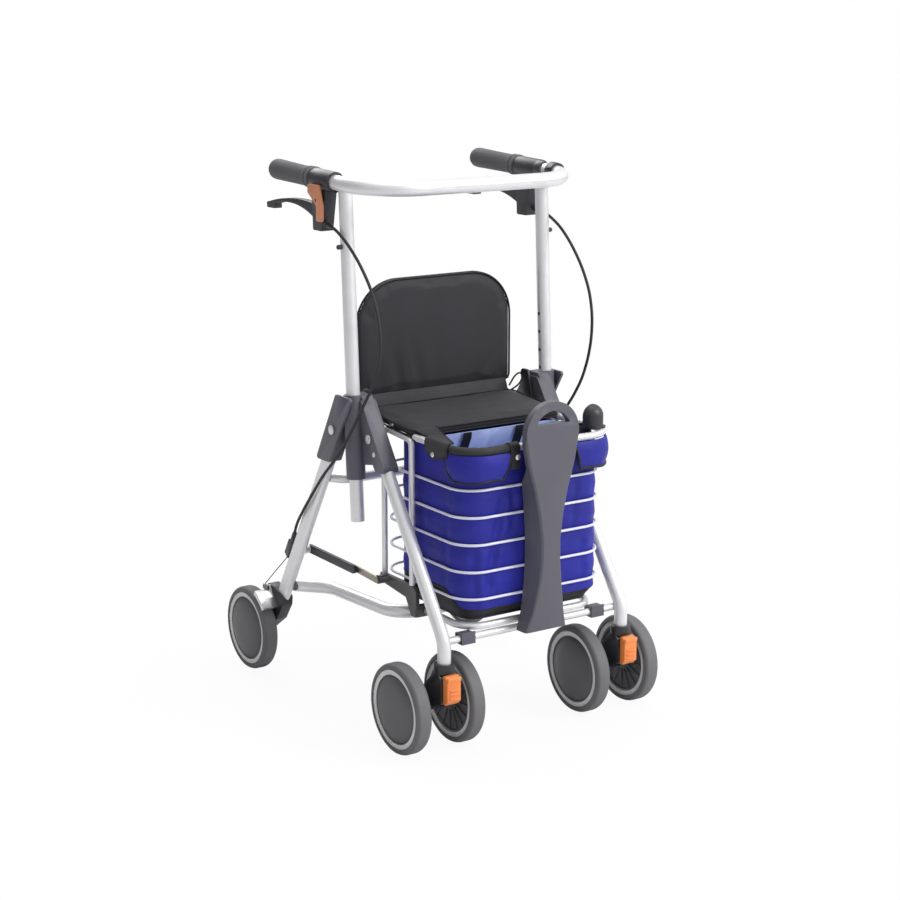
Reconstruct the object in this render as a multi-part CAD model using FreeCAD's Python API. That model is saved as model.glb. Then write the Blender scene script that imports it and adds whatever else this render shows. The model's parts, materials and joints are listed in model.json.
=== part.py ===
import FreeCAD, Part
import math
import os

# A folding walking aid on six wheels with a seat, a basket with a bag and a front carrying handle.
# Millimetres. +Z is up, the front is towards -Y and the user's right hand side is -X.
# Places are worked out from the middle of the wheelbase on the floor. On export everything moves along Y,
# so that the origin lies under the middle of the whole part.

# Wheels
wheel_radius = 75.0
tyre_width = 28.0
tyre_inner_radius = 62.0
tyre_shoulder_radius = 8.0
rim_width = 25.0
rim_ring_inner_radius = 54.0
rim_disc_thickness = 19.0
wheel_boss_radius = 16.0
wheel_boss_width = 30.0
axle_radius = 5.0
axle_cap_radius = 11.0
axle_cap_thickness = 3.0
wheel_base = 503.0
rear_wheel_x = 231.5

# Front casters
caster_x = 178.0
caster_trail = 48.5
twin_wheel_spacing = 103.0
yoke_top_z = 156.0
yoke_collar_radius = 17.0
yoke_collar_length = 15.0
yoke_half_width = 16.0
yoke_front_reach = 15.0
yoke_hub_radius = 13.0
yoke_hub_half_length = 35.5
yoke_socket_depth = 14.0
swivel_lock_width = 26.0
swivel_lock_depth = 14.0
swivel_lock_height = 48.0
swivel_lock_top_z = 141.0

# Front frame
leg_tube_radius = 11.0
tube_wall = 1.5
front_leg_slope_deg = 34.6
front_leg_bend_radius = 50.0
front_leg_bend_z = 191.0
front_leg_top_z = 500.0
front_cross_tube_z = 187.0
front_cross_tube_y = -290.0
cross_tube_radius = 6.0
basket_clip_x = 130.0
basket_clip_width = 26.0
basket_clip_depth = 21.0
basket_clip_top_z = 198.0

# Hub brackets, where the legs and the handle's uprights meet
hub_top_z = 552.0
hub_sleeve_bottom_z = 412.0
hub_sleeve_radius = 16.0
hub_leg_sleeve_half_width = 14.0
hub_leg_sleeve_bottom_z = 434.0
hub_web_outer_x = 189.0
hub_web_inner_x = 168.0
hub_pivot_radius = 17.0
rear_pivot_y = -20.0
rear_pivot_z = 489.0
pivot_pin_radius = 5.0
bolt_head_radius = 8.0
bolt_head_height = 3.0
rivet_head_radius = 4.5
rivet_head_height = 1.5

# Rear frame
rear_leg_x = 203.0
rear_leg_width = 30.0
rear_leg_thickness = 15.0
rear_leg_foot_ahead = 59.7
rear_leg_top_z = 497.0
rear_leg_bottom_z = 133.0
rear_bracket_top_z = 551.0
rear_bracket_bottom_z = 431.0
rear_bracket_half_width = 22.0
rear_bracket_sleeve_half_width = 18.5
rear_bracket_plate_inner_x = 211.5
rear_bracket_plate_outer_x = 216.0
rear_bracket_sleeve_inner_x = 192.0
rear_bracket_sleeve_top_z = 505.0
rear_bracket_relief = 3.0
rear_cross_tube_radius = 8.0
rear_cross_tube_y = 6.0
rear_cross_tube_z = 394.0
rear_cross_bend_radius = 20.0
bow_tube_radius = 11.0
bow_leg_z = 171.0
bow_side_x = 152.0
bow_flare_run = 69.0
bow_front_y = -125.0
bow_front_z = 185.0
bow_corner_radius = 50.0
bow_flare_radius = 60.0

# Rear brakes
brake_mount_inner_x = 193.0
brake_mount_outer_x = 213.0
brake_mount_boss_radius = 14.0
brake_pivot_ahead = 36.5
brake_pivot_z = 155.0
brake_pin_radius = 4.0
brake_arm_thickness = 3.2
brake_arm_half_height = 7.0
brake_anchor_ahead = 22.5
brake_anchor_z = 151.0
brake_shoe_gap = 1.8
brake_shoe_thickness = 9.0
brake_shoe_width = 24.0
brake_shoe_half_angle_deg = 14.0
brake_shoe_angle_deg = 128.0
cable_stop_length = 36.0
cable_stop_depth = 15.0
cable_stop_width = 12.0
cable_stop_z = 230.0

# Handle
upright_x = 195.0
upright_radius = 11.5
upright_y = -58.65
upright_y_height = 450.0
upright_lean_deg = 2.93
upright_bottom_z = 340.0
height_hole_radius = 3.5
height_hole_pitch = 31.3
height_hole_count = 10
height_holes_below_knob = 4
bar_radius = 12.5
bar_x = 205.0
bar_front_y = -140.0
bar_front_z = 893.0
bar_rear_y = 170.0
bar_slope_deg = 2.13
bar_corner_radius = 90.0
grip_front_y = 42.0
grip_rear_y = 178.0
grip_front_radius = 16.0
grip_rear_radius = 17.5
grip_end_round = 10.0
housing_clamp_front_y = -22.0
housing_clamp_radius = 17.0
housing_half_width = 11.0
housing_bottom_z = 816.0
housing_top_z = 893.0
housing_front_top_y = -10.0
housing_front_bottom_y = 5.5
housing_rear_top_y = 38.0
housing_rear_bottom_y = 34.0
housing_slot_half_width = 7.5
housing_slot_top_z = 880.0
housing_slot_bottom_z = 831.0
housing_slot_front_y = 13.0
lever_pivot_y = 29.0
lever_pivot_z = 846.5
lever_pin_radius = 3.0
lever_half_width = 7.0
lever_root_radius = 10.5
lever_thickness = 9.5
lever_arch_y = 97.5
lever_arch_z = 856.4
lever_tip_y = 194.0
lever_tip_z = 843.25
lever_tip_length = 23.0
lever_tip_height = 10.0
parking_pivot_y = 5.0
parking_pivot_z = 868.0
parking_thickness = 5.0
parking_pin_radius = 2.5
parking_tail_y = -4.5
parking_tail_bottom_z = 833.5
parking_tail_half_width = 8.5
parking_knee_z = 859.0
parking_head_y = 14.0
parking_head_z = 885.5
parking_head_half_width = 17.0
parking_head_half_height = 7.0
height_knob_thickness = 5.0
height_knob_stem_radius = 4.0
height_knob_z = 495.0
height_knob_rise = 61.0
height_knob_drop = 7.0
height_knob_top_half_width = 11.0
height_knob_bottom_half_width = 17.0
height_knob_shift_y = 16.0

# Cane clip and cane cup, both on the user's left
cane_ring_front_y = -72.0
cane_ring_length = 18.0
cane_ring_wall = 4.5
cane_cradle_radius = 14.0
cane_cradle_wall = 3.5
cane_cradle_rise = 7.0
cane_cup_radius = 14.0
cane_cup_wall = 2.0
cane_cup_depth = 60.0
cane_cup_gap = 3.0
cane_cup_angle_deg = 33.5
cane_flange_thickness = 3.0
cane_dome_radius = 19.0
cane_dome_rise = 17.0
cane_dome_shift = 8.0

# Folding braces between the rear legs and the basket
brace_rear_z = 244.0
brace_knee_y = -22.0
brace_knee_z = 243.0
brace_front_y = -88.0
brace_front_z = 240.0
brace_outer_x = 182.0
brace_bar_thickness = 6.0
brace_bar_half_height = 7.5
brace_strip_thickness = 3.0
brace_strip_half_height = 5.5
brace_pin_radius = 3.5
brace_face_gap = 0.5

# Basket frame
hoop_x = 149.0
hoop_tube_radius = 5.0
hoop_rear_y = -75.0
hoop_front_y = -160.0
hoop_bottom_z = 245.0
hoop_rail_rear_z = 495.0
hoop_rail_slope_deg = 4.0
hoop_bend_radius = 12.0
ring_wire_radius = 2.25
ring_half_width = 141.5
ring_front_y = -303.0
ring_rear_y = -51.0
ring_corner_radius = 45.0
ring_lowest_z = 250.0
ring_pitch = 45.0
ring_count = 5
bottom_tube_radius = 6.0
bottom_tube_half_width = 130.0
bottom_tube_z = 201.5
bottom_tube_corner_radius = 40.0
rim_tube_radius = 6.0
rim_half_width = 145.0
rim_front_y = -312.0
rim_z = 495.0
rim_corner_radius = 45.0
lower_bracket_thickness = 7.0
lower_bracket_foot_z = 193.0
lower_bracket_leg_y = -169.0
lower_bracket_leg_width = 15.0

# Bag and pads
bag_half_width = 137.5
bag_front_y = -299.5
bag_rear_y = -98.0
bag_wall = 2.5
bag_bottom_z = 211.0
bag_round_height = 32.0
bag_bottom_inset = 14.0
bag_top_z = 488.0
bag_front_radius = 40.0
bag_rear_radius = 28.0
flap_thickness = 2.5
flap_top_z = 499.0
flap_bottom_z = 452.0
flap_inner_x = 62.0
flap_rear_y = -205.0
seat_half_width = 152.5
seat_rear_y = -13.0
seat_front_y = -164.5
seat_thickness = 13.0
seat_crown = 3.0
seat_side_draw = 2.5
seat_corner_radius = 14.0
backrest_half_width = 156.0
backrest_bottom_half_width = 152.0
backrest_bottom_z = 530.0
backrest_top_z = 730.0
backrest_hinge_y = -12.0
backrest_hinge_z = 518.0
backrest_hinge_radius = 4.0
backrest_strip_thickness = 2.0
backrest_thickness = 17.0
backrest_corner_radius = 78.0
backrest_foot_radius = 12.0

# Front carrying handle, a tall moulded panel
panel_bottom_z = 188.0
panel_shoulder_z = 517.5
panel_loop_radius = 51.0
panel_front_y = -344.0
panel_loop_thickness = 13.0
panel_wall = 3.0
panel_hole_radius = 36.0
panel_hole_floor = 15.0
panel_pocket_top_z = 475.0
panel_trim_low_z = 433.0
panel_trim_high_z = 463.0
panel_end_half_width = 52.0
panel_depth = 38.5
panel_edge_radius = 6.0

# Brake cables
cable_radius = 2.5
inner_wire_radius = 0.8
cable_arc_share = 0.45

# Clearances and cuts
seat_gap = 0.05
pin_gap = 0.05
slide_gap = 0.3
soft_gap = 0.3
face_gap = 0.5
cut_over = 5.0

backrest_front_y = backrest_hinge_y + backrest_hinge_radius + soft_gap
front_axle_y = -wheel_base / 2
rear_axle_y = wheel_base / 2
rear_leg_run = (rear_axle_y - rear_leg_foot_ahead - rear_pivot_y) / (rear_pivot_z - rear_leg_bottom_z)
rear_leg_slope_deg = math.degrees(math.atan(rear_leg_run))
brace_rear_y = rear_pivot_y + (rear_pivot_z - brace_rear_z) * rear_leg_run
bow_side_rear_y = rear_pivot_y + (rear_pivot_z - bow_leg_z) * rear_leg_run - bow_flare_run
brake_pivot_y = rear_axle_y - brake_pivot_ahead
brake_anchor_y = rear_axle_y - brake_anchor_ahead
stem_y = front_axle_y - caster_trail
origin_shift = -(panel_front_y + rear_axle_y + wheel_radius) / 2
X_AXIS = FreeCAD.Vector(1, 0, 0)
Y_AXIS = FreeCAD.Vector(0, 1, 0)
Z_AXIS = FreeCAD.Vector(0, 0, 1)


def vec(x, y, z):
    """A point or direction."""
    return FreeCAD.Vector(x, y, z)


def slope(angle_deg):
    """Rise over run of an angle."""
    return math.tan(math.radians(angle_deg))


def mirrored(shape):
    """The same shape on the other side of the YZ plane."""
    return shape.mirror(vec(0, 0, 0), X_AXIS)


def pair(shape):
    """A right shape and its left twin."""
    return [shape, mirrored(shape)]


def rod(start, end, radius):
    """A round bar from one point to another."""
    run = end.sub(start)
    return Part.makeCylinder(radius, run.Length, start, run)


def pipe(start, end, radius, wall):
    """A straight round tube, open at both ends."""
    run = end.sub(start)
    reach = run.normalize().multiply(cut_over)
    return rod(start, end, radius).cut(rod(start.sub(reach), end.add(reach), radius - wall))


def x_rod(x_low, x_high, y, z, radius):
    """A round bar along X."""
    return Part.makeCylinder(radius, x_high - x_low, vec(x_low, y, z), X_AXIS)


def block(x_low, x_high, y_low, y_high, z_low, z_high):
    """A box between two corners."""
    return Part.makeBox(x_high - x_low, y_high - y_low, z_high - z_low, vec(x_low, y_low, z_low))


def corner_arc(before, corner, after, radius):
    """The arc that rounds a corner, with its two tangent points."""
    into = corner.sub(before)
    away = after.sub(corner)
    turn = into.getAngle(away)
    reach = radius * math.tan(turn / 2)
    into.normalize()
    away.normalize()
    first = corner.sub(vec(into.x, into.y, into.z).multiply(reach))
    last = corner.add(vec(away.x, away.y, away.z).multiply(reach))
    inward = away.sub(into)
    inward.normalize()
    middle = corner.add(inward.multiply(radius / math.cos(turn / 2) - radius))
    return first, middle, last


def rounded_path(points, radii):
    """An open path of straight runs and tangent arcs."""
    edges = []
    at = points[0]
    for index in range(1, len(points) - 1):
        first, middle, last = corner_arc(points[index - 1], points[index], points[index + 1], radii[index - 1])
        edges.append(Part.LineSegment(at, first).toShape())
        edges.append(Part.Arc(first, middle, last).toShape())
        at = last
    edges.append(Part.LineSegment(at, points[-1]).toShape())
    return Part.Wire(edges)


def rounded_loop(points, radii):
    """A closed outline with every corner rounded."""
    count = len(points)
    arcs = [corner_arc(points[i - 1], points[i], points[(i + 1) % count], radii[i]) for i in range(count)]
    edges = []
    for index in range(count):
        first, middle, last = arcs[index]
        edges.append(Part.Arc(first, middle, last).toShape())
        edges.append(Part.LineSegment(last, arcs[(index + 1) % count][0]).toShape())
    return Part.Wire(edges)


def swept(path, radius):
    """A round section carried along a path."""
    start = path.OrderedVertexes[0].Point
    tangent = path.OrderedEdges[0].tangentAt(path.OrderedEdges[0].FirstParameter)
    circle = Part.Wire(Part.makeCircle(radius, start, tangent))
    return path.makePipeShell([circle], True, False)


def bent_tube(points, radii, radius, wall=0):
    """A bent round tube, hollow when it has a wall."""
    path = rounded_path(points, radii)
    solid = swept(path, radius)
    if wall:
        solid = solid.cut(swept(path, radius - wall))
    return solid


def side_plate(points, x_low, x_high, radius):
    """A plate parallel to the YZ plane with rounded corners."""
    outline = rounded_loop([vec(x_low, y, z) for y, z in points], [radius] * len(points))
    return Part.Face(outline).extrude(vec(x_high - x_low, 0, 0))


def flat_loop(half_width, y_front, y_rear, z, front_radius, rear_radius):
    """A level rounded rectangle centred on the YZ plane."""
    points = [vec(-half_width, y_front, z), vec(half_width, y_front, z),
              vec(half_width, y_rear, z), vec(-half_width, y_rear, z)]
    return rounded_loop(points, [front_radius, front_radius, rear_radius, rear_radius])


def joined(shapes):
    """One solid from shapes that touch or overlap."""
    return shapes[0].multiFuse(shapes[1:]).removeSplitter()


def leg_y(z):
    """Where the front leg's axis is at a height above its bend."""
    return stem_y + (z - front_leg_bend_z) * slope(front_leg_slope_deg)


def rear_leg_y(z):
    """Where the rear leg's axis is at a height."""
    return rear_pivot_y - (z - rear_pivot_z) * rear_leg_run


def upright_axis_y(z):
    """Where the upright's axis is at a height."""
    return upright_y + (z - upright_y_height) * slope(upright_lean_deg)


def bar_z(y):
    """Height of the handlebar's axis."""
    return bar_front_z + (y - bar_front_y) * slope(bar_slope_deg)


def tyre():
    """Tyre about the X axis at the origin."""
    half = tyre_width / 2
    flat = half - tyre_shoulder_radius
    shoulder_z = wheel_radius - tyre_shoulder_radius
    reach = tyre_shoulder_radius * math.sqrt(0.5)
    points = [vec(-half, 0, tyre_inner_radius), vec(-half, 0, shoulder_z), vec(-flat, 0, wheel_radius),
              vec(flat, 0, wheel_radius), vec(half, 0, shoulder_z), vec(half, 0, tyre_inner_radius)]
    edges = [
        Part.LineSegment(points[0], points[1]).toShape(),
        Part.Arc(points[1], vec(-flat - reach, 0, shoulder_z + reach), points[2]).toShape(),
        Part.LineSegment(points[2], points[3]).toShape(),
        Part.Arc(points[3], vec(flat + reach, 0, shoulder_z + reach), points[4]).toShape(),
        Part.LineSegment(points[4], points[5]).toShape(),
        Part.LineSegment(points[5], points[0]).toShape(),
    ]
    return Part.Face(Part.Wire(edges)).revolve(vec(0, 0, 0), X_AXIS, 360)


def wheel_rim():
    """Moulded wheel with a ring, a thinner disc and a boss, about the X axis at the origin."""
    ring = x_rod(-rim_width / 2, rim_width / 2, 0, 0, tyre_inner_radius - seat_gap)
    ring = ring.cut(x_rod(-rim_width, rim_width, 0, 0, rim_ring_inner_radius))
    disc = x_rod(-rim_disc_thickness / 2, rim_disc_thickness / 2, 0, 0, rim_ring_inner_radius)
    boss = x_rod(-wheel_boss_width / 2, wheel_boss_width / 2, 0, 0, wheel_boss_radius)
    bore = x_rod(-wheel_boss_width, wheel_boss_width, 0, 0, axle_radius + pin_gap)
    return joined([ring, disc, boss]).cut(bore)


def front_wheel_places():
    """Names and places of the four front wheels."""
    offset = twin_wheel_spacing / 2
    return {
        "right_outer": vec(-caster_x - offset, front_axle_y, wheel_radius),
        "right_inner": vec(-caster_x + offset, front_axle_y, wheel_radius),
        "left_inner": vec(caster_x - offset, front_axle_y, wheel_radius),
        "left_outer": vec(caster_x + offset, front_axle_y, wheel_radius),
    }


def caster_yoke():
    """Right caster body: a collar that turns on the leg's foot, a trailing arm and the axle's hub."""
    collar = rod(vec(-caster_x, stem_y, yoke_top_z - yoke_collar_length), vec(-caster_x, stem_y, yoke_top_z),
                 yoke_collar_radius)
    socket = rod(vec(-caster_x, stem_y, yoke_top_z - yoke_socket_depth),
                 vec(-caster_x, stem_y, yoke_top_z + cut_over), leg_tube_radius + pin_gap)
    shoulder_z = yoke_top_z - yoke_collar_length / 2
    front_y = stem_y - yoke_front_reach
    arm = side_plate([(front_y, shoulder_z - yoke_front_reach), (stem_y, shoulder_z),
                      (front_axle_y + yoke_hub_radius, wheel_radius + yoke_hub_radius),
                      (front_axle_y + yoke_hub_radius, wheel_radius - yoke_hub_radius),
                      (front_y, swivel_lock_top_z - swivel_lock_height)],
                     -caster_x - yoke_half_width, -caster_x + yoke_half_width, yoke_hub_radius / 2)
    hub = x_rod(-caster_x - yoke_hub_half_length, -caster_x + yoke_hub_half_length, front_axle_y, wheel_radius,
                yoke_hub_radius)
    bore = x_rod(-caster_x - twin_wheel_spacing, -caster_x + twin_wheel_spacing, front_axle_y, wheel_radius,
                 axle_radius + seat_gap)
    return joined([collar, arm, hub]).cut(bore).cut(socket)


def caster_axle():
    """Right caster axle with a cap at each end."""
    half = twin_wheel_spacing / 2 + wheel_boss_width / 2 + face_gap
    rods = [x_rod(-caster_x - half, -caster_x + half, front_axle_y, wheel_radius, axle_radius)]
    rods.append(x_rod(-caster_x - half - axle_cap_thickness, -caster_x - half, front_axle_y, wheel_radius,
                      axle_cap_radius))
    rods.append(x_rod(-caster_x + half, -caster_x + half + axle_cap_thickness, front_axle_y, wheel_radius,
                      axle_cap_radius))
    return joined(rods)


def swivel_lock():
    """Right lock tab that slides down the front of the caster body."""
    rear_y = stem_y - yoke_front_reach - slide_gap
    front_y = rear_y - swivel_lock_depth
    half = swivel_lock_width / 2
    bottom_z = swivel_lock_top_z - swivel_lock_height
    nose = swivel_lock_depth / 2
    profile = [(rear_y, swivel_lock_top_z), (front_y + nose, swivel_lock_top_z),
               (front_y, swivel_lock_top_z - nose), (front_y, bottom_z + nose),
               (front_y + nose, bottom_z), (rear_y, bottom_z)]
    return side_plate(profile, -caster_x - half, -caster_x + half, nose / 4)


def front_leg():
    """Right front leg, bent upright where it meets the caster."""
    top = vec(-caster_x, leg_y(front_leg_top_z), front_leg_top_z)
    bend = vec(-caster_x, stem_y, front_leg_bend_z)
    foot = vec(-caster_x, stem_y, yoke_top_z - yoke_socket_depth + slide_gap)
    return bent_tube([top, bend, foot], [front_leg_bend_radius], leg_tube_radius, tube_wall)


def front_cross_tube():
    """Tube between the two front legs, cut to the legs' round."""
    tube = pipe(vec(-caster_x, front_cross_tube_y, front_cross_tube_z),
                vec(caster_x, front_cross_tube_y, front_cross_tube_z), cross_tube_radius, tube_wall)
    for side in (-1, 1):
        bend = vec(side * caster_x, stem_y, front_leg_bend_z)
        top = vec(side * caster_x, leg_y(hub_top_z), hub_top_z)
        foot = vec(side * caster_x, stem_y, wheel_radius)
        tube = tube.cut(swept(rounded_path([top, bend, foot], [front_leg_bend_radius]),
                              leg_tube_radius + seat_gap))
    solids = sorted(tube.Solids, key=lambda solid: solid.Volume)
    return solids[-1]


def basket_clip():
    """Right clip on the front cross tube: a rest for the basket's bottom tube with a lip in front."""
    half = basket_clip_width / 2
    wall = tube_wall * 2
    bottom_z = front_cross_tube_z - cross_tube_radius - wall
    rest_z = bottom_tube_z - bottom_tube_radius - slide_gap
    lip_y = front_cross_tube_y - bottom_tube_radius - slide_gap
    front_y = lip_y - wall
    rear_y = front_y + basket_clip_depth
    body = side_plate([(front_y, bottom_z), (rear_y, bottom_z), (rear_y, rest_z), (lip_y, rest_z),
                       (lip_y, basket_clip_top_z), (front_y, basket_clip_top_z)],
                      -basket_clip_x - half, -basket_clip_x + half, tube_wall / 2)
    bore = x_rod(-basket_clip_x - basket_clip_width, -basket_clip_x + basket_clip_width, front_cross_tube_y,
                 front_cross_tube_z, cross_tube_radius + seat_gap)
    return body.cut(bore)


def upright_line(z_low, z_high, radius):
    """A round bar on the right upright's axis between two heights."""
    return rod(vec(-upright_x, upright_axis_y(z_low), z_low), vec(-upright_x, upright_axis_y(z_high), z_high),
               radius)


def leg_sleeve_outline(half_width, z_low, z_high, axis_y, slope_deg):
    """Four corners of a sleeve around a sloping leg, in Y and Z."""
    spread = half_width / math.cos(math.radians(slope_deg))
    return [(axis_y(z_low) - spread, z_low), (axis_y(z_low) + spread, z_low),
            (axis_y(z_high) + spread, z_high), (axis_y(z_high) - spread, z_high)]


def hub_bracket():
    """Right hub: sleeves for the upright and the front leg, a web and the rear frame's pivot."""
    sleeve = upright_line(hub_sleeve_bottom_z, hub_top_z, hub_sleeve_radius)
    outer_cut = block(-upright_x - hub_sleeve_radius * 2, -rear_bracket_plate_inner_x + face_gap, -wheel_base,
                      wheel_base, 0, bar_front_z)
    sleeve = sleeve.cut(outer_cut)
    corner = hub_leg_sleeve_half_width / 2
    half = hub_leg_sleeve_half_width
    leg_part = side_plate(leg_sleeve_outline(half, hub_leg_sleeve_bottom_z, hub_top_z - corner, leg_y,
                                             front_leg_slope_deg), -caster_x - half, -caster_x + half, corner)
    web = side_plate([(upright_axis_y(hub_top_z) - hub_sleeve_radius, hub_top_z),
                      (upright_axis_y(hub_top_z) + hub_sleeve_radius, hub_top_z),
                      (rear_pivot_y + hub_pivot_radius, rear_pivot_z + hub_pivot_radius),
                      (rear_pivot_y + hub_pivot_radius, rear_pivot_z - hub_pivot_radius),
                      (upright_axis_y(hub_sleeve_bottom_z), hub_leg_sleeve_bottom_z),
                      (leg_y(hub_leg_sleeve_bottom_z), hub_leg_sleeve_bottom_z + half)],
                     -hub_web_outer_x, -hub_web_inner_x, corner)
    bracket = joined([sleeve, leg_part, web])
    bracket = bracket.cut(upright_line(hub_sleeve_bottom_z - cut_over, hub_top_z + cut_over,
                                       upright_radius + slide_gap))
    leg_socket = rod(vec(-caster_x, leg_y(front_leg_bend_z + front_leg_bend_radius),
                         front_leg_bend_z + front_leg_bend_radius),
                     vec(-caster_x, leg_y(front_leg_top_z), front_leg_top_z), leg_tube_radius + seat_gap)
    knob_bore = x_rod(-upright_x, 0, upright_axis_y(height_knob_z), height_knob_z,
                      height_knob_stem_radius + pin_gap)
    pin_bore = x_rod(-rear_leg_x - wheel_radius, 0, rear_pivot_y, rear_pivot_z, pivot_pin_radius + seat_gap)
    return bracket.cut(leg_socket).cut(knob_bore).cut(pin_bore)


def pivot_bolt():
    """Bolt that the right rear bracket turns on."""
    head_x = -rear_bracket_plate_outer_x - slide_gap
    pin = x_rod(head_x, -hub_web_inner_x + bolt_head_height, rear_pivot_y, rear_pivot_z, pivot_pin_radius)
    head = x_rod(head_x - bolt_head_height, head_x, rear_pivot_y, rear_pivot_z, bolt_head_radius)
    nut = x_rod(-hub_web_inner_x + seat_gap, -hub_web_inner_x + bolt_head_height * 2, rear_pivot_y, rear_pivot_z,
                bolt_head_radius)
    return joined([pin, head, nut])


def leg_bolts():
    """Heads of the right hub's bolt, rivet and cable clip screw."""
    face_x = -caster_x - hub_leg_sleeve_half_width - seat_gap
    bolt_z = front_leg_top_z - rear_leg_thickness
    rivet_z = hub_leg_sleeve_bottom_z + hub_leg_sleeve_half_width * 2
    bolt = x_rod(face_x - bolt_head_height, face_x, leg_y(bolt_z), bolt_z, bolt_head_radius)
    rivet = x_rod(face_x - rivet_head_height, face_x, leg_y(rivet_z), rivet_z, rivet_head_radius)
    return [bolt, rivet]


def height_knob():
    """Right pull knob, a tall paddle on a stem that locks the upright from the inside."""
    y = upright_axis_y(height_knob_z)
    sleeve_x = -upright_x + upright_radius + slide_gap * 2
    web_x = -caster_x + hub_leg_sleeve_half_width + face_gap
    stem = x_rod(sleeve_x, web_x + height_knob_thickness / 2, y, height_knob_z, height_knob_stem_radius)
    top_y = y + height_knob_shift_y
    top_z = height_knob_z + height_knob_rise
    bottom_z = height_knob_z - height_knob_drop
    paddle = side_plate([(y - height_knob_bottom_half_width, bottom_z),
                         (y + height_knob_bottom_half_width, bottom_z),
                         (top_y + height_knob_top_half_width, top_z), (top_y - height_knob_top_half_width, top_z)],
                        web_x, web_x + height_knob_thickness, height_knob_top_half_width / 1.5)
    return joined([stem, paddle])


def rear_leg_section(y, z, half_width, half_thickness):
    """Flat oval across the right rear leg at a point on its axis."""
    across = vec(0, math.cos(math.radians(rear_leg_slope_deg)), math.sin(math.radians(rear_leg_slope_deg)))
    middle = vec(-rear_leg_x, y, z)
    flat = half_width - half_thickness

    def at(along, side):
        return middle.add(vec(0, across.y * along, across.z * along)).add(vec(side, 0, 0))

    edges = [
        Part.LineSegment(at(-flat, -half_thickness), at(flat, -half_thickness)).toShape(),
        Part.Arc(at(flat, -half_thickness), at(half_width, 0), at(flat, half_thickness)).toShape(),
        Part.LineSegment(at(flat, half_thickness), at(-flat, half_thickness)).toShape(),
        Part.Arc(at(-flat, half_thickness), at(-half_width, 0), at(-flat, -half_thickness)).toShape(),
    ]
    return Part.Face(Part.Wire(edges))


def rear_leg_bar(z_low, z_high, half_width, half_thickness):
    """Solid flat oval bar on the right rear leg's axis."""
    section = rear_leg_section(rear_leg_y(z_high), z_high, half_width, half_thickness)
    run = vec(0, rear_leg_y(z_low) - rear_leg_y(z_high), z_low - z_high)
    return section.extrude(run)


def rear_leg():
    """Right rear leg with its pivot holes."""
    outer = rear_leg_bar(rear_leg_bottom_z, rear_leg_top_z, rear_leg_width / 2, rear_leg_thickness / 2)
    inner = rear_leg_bar(rear_leg_bottom_z - cut_over, rear_leg_top_z + cut_over, rear_leg_width / 2 - tube_wall,
                         rear_leg_thickness / 2 - tube_wall)
    pivot = x_rod(-rear_leg_x - rear_leg_thickness, -rear_leg_x + rear_leg_thickness, rear_pivot_y, rear_pivot_z,
                  pivot_pin_radius + pin_gap)
    return outer.cut(inner).cut(pivot)


def rear_bracket():
    """Right moulded cover and sleeve at the top of the rear leg."""
    corner = rear_bracket_half_width / 5
    foot = leg_sleeve_outline(rear_bracket_sleeve_half_width, rear_bracket_bottom_z, rear_bracket_top_z,
                              rear_leg_y, rear_leg_slope_deg)[:2]
    head = leg_sleeve_outline(rear_bracket_half_width, rear_bracket_bottom_z, rear_bracket_top_z,
                              rear_leg_y, rear_leg_slope_deg)[2:]
    plate = side_plate(foot + head, -rear_bracket_plate_outer_x, -rear_bracket_plate_inner_x, corner)
    sleeve = side_plate(leg_sleeve_outline(rear_bracket_sleeve_half_width, rear_bracket_bottom_z,
                                           rear_bracket_sleeve_top_z, rear_leg_y, rear_leg_slope_deg),
                        -rear_bracket_plate_inner_x, -rear_bracket_sleeve_inner_x, corner)
    sleeve = sleeve.cut(upright_line(rear_bracket_bottom_z - cut_over, rear_bracket_sleeve_top_z + cut_over,
                                     hub_sleeve_radius + rear_bracket_relief))
    bracket = joined([plate, sleeve])
    socket = rear_leg_bar(rear_leg_bottom_z, rear_leg_top_z + seat_gap, rear_leg_width / 2 + seat_gap,
                          rear_leg_thickness / 2 + seat_gap)
    pivot = x_rod(-rear_bracket_plate_outer_x - cut_over, 0, rear_pivot_y, rear_pivot_z, pivot_pin_radius + pin_gap)
    return bracket.cut(socket).cut(pivot)


def rear_cross_tube():
    """Upper cross tube between the rear legs, bent back to meet them."""
    leg_inner_x = rear_leg_x - rear_leg_thickness / 2
    leg_end_y = rear_leg_y(rear_cross_tube_z)
    corner_x = leg_inner_x - rear_cross_bend_radius
    points = [vec(-leg_inner_x, leg_end_y, rear_cross_tube_z), vec(-corner_x, rear_cross_tube_y, rear_cross_tube_z),
              vec(corner_x, rear_cross_tube_y, rear_cross_tube_z), vec(leg_inner_x, leg_end_y, rear_cross_tube_z)]
    tube = bent_tube(points, [rear_cross_bend_radius] * 2, rear_cross_tube_radius, tube_wall)
    limit = leg_inner_x - seat_gap
    room = block(-limit, limit, -wheel_base, wheel_base, 0, bar_front_z)
    return tube.common(room)


def bow_z(y):
    """Height of the lower bow's sides, which rise gently to the front."""
    share = (rear_leg_y(bow_leg_z) - y) / (rear_leg_y(bow_leg_z) - bow_front_y)
    return bow_leg_z + (bow_front_z - bow_leg_z) * share


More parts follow.
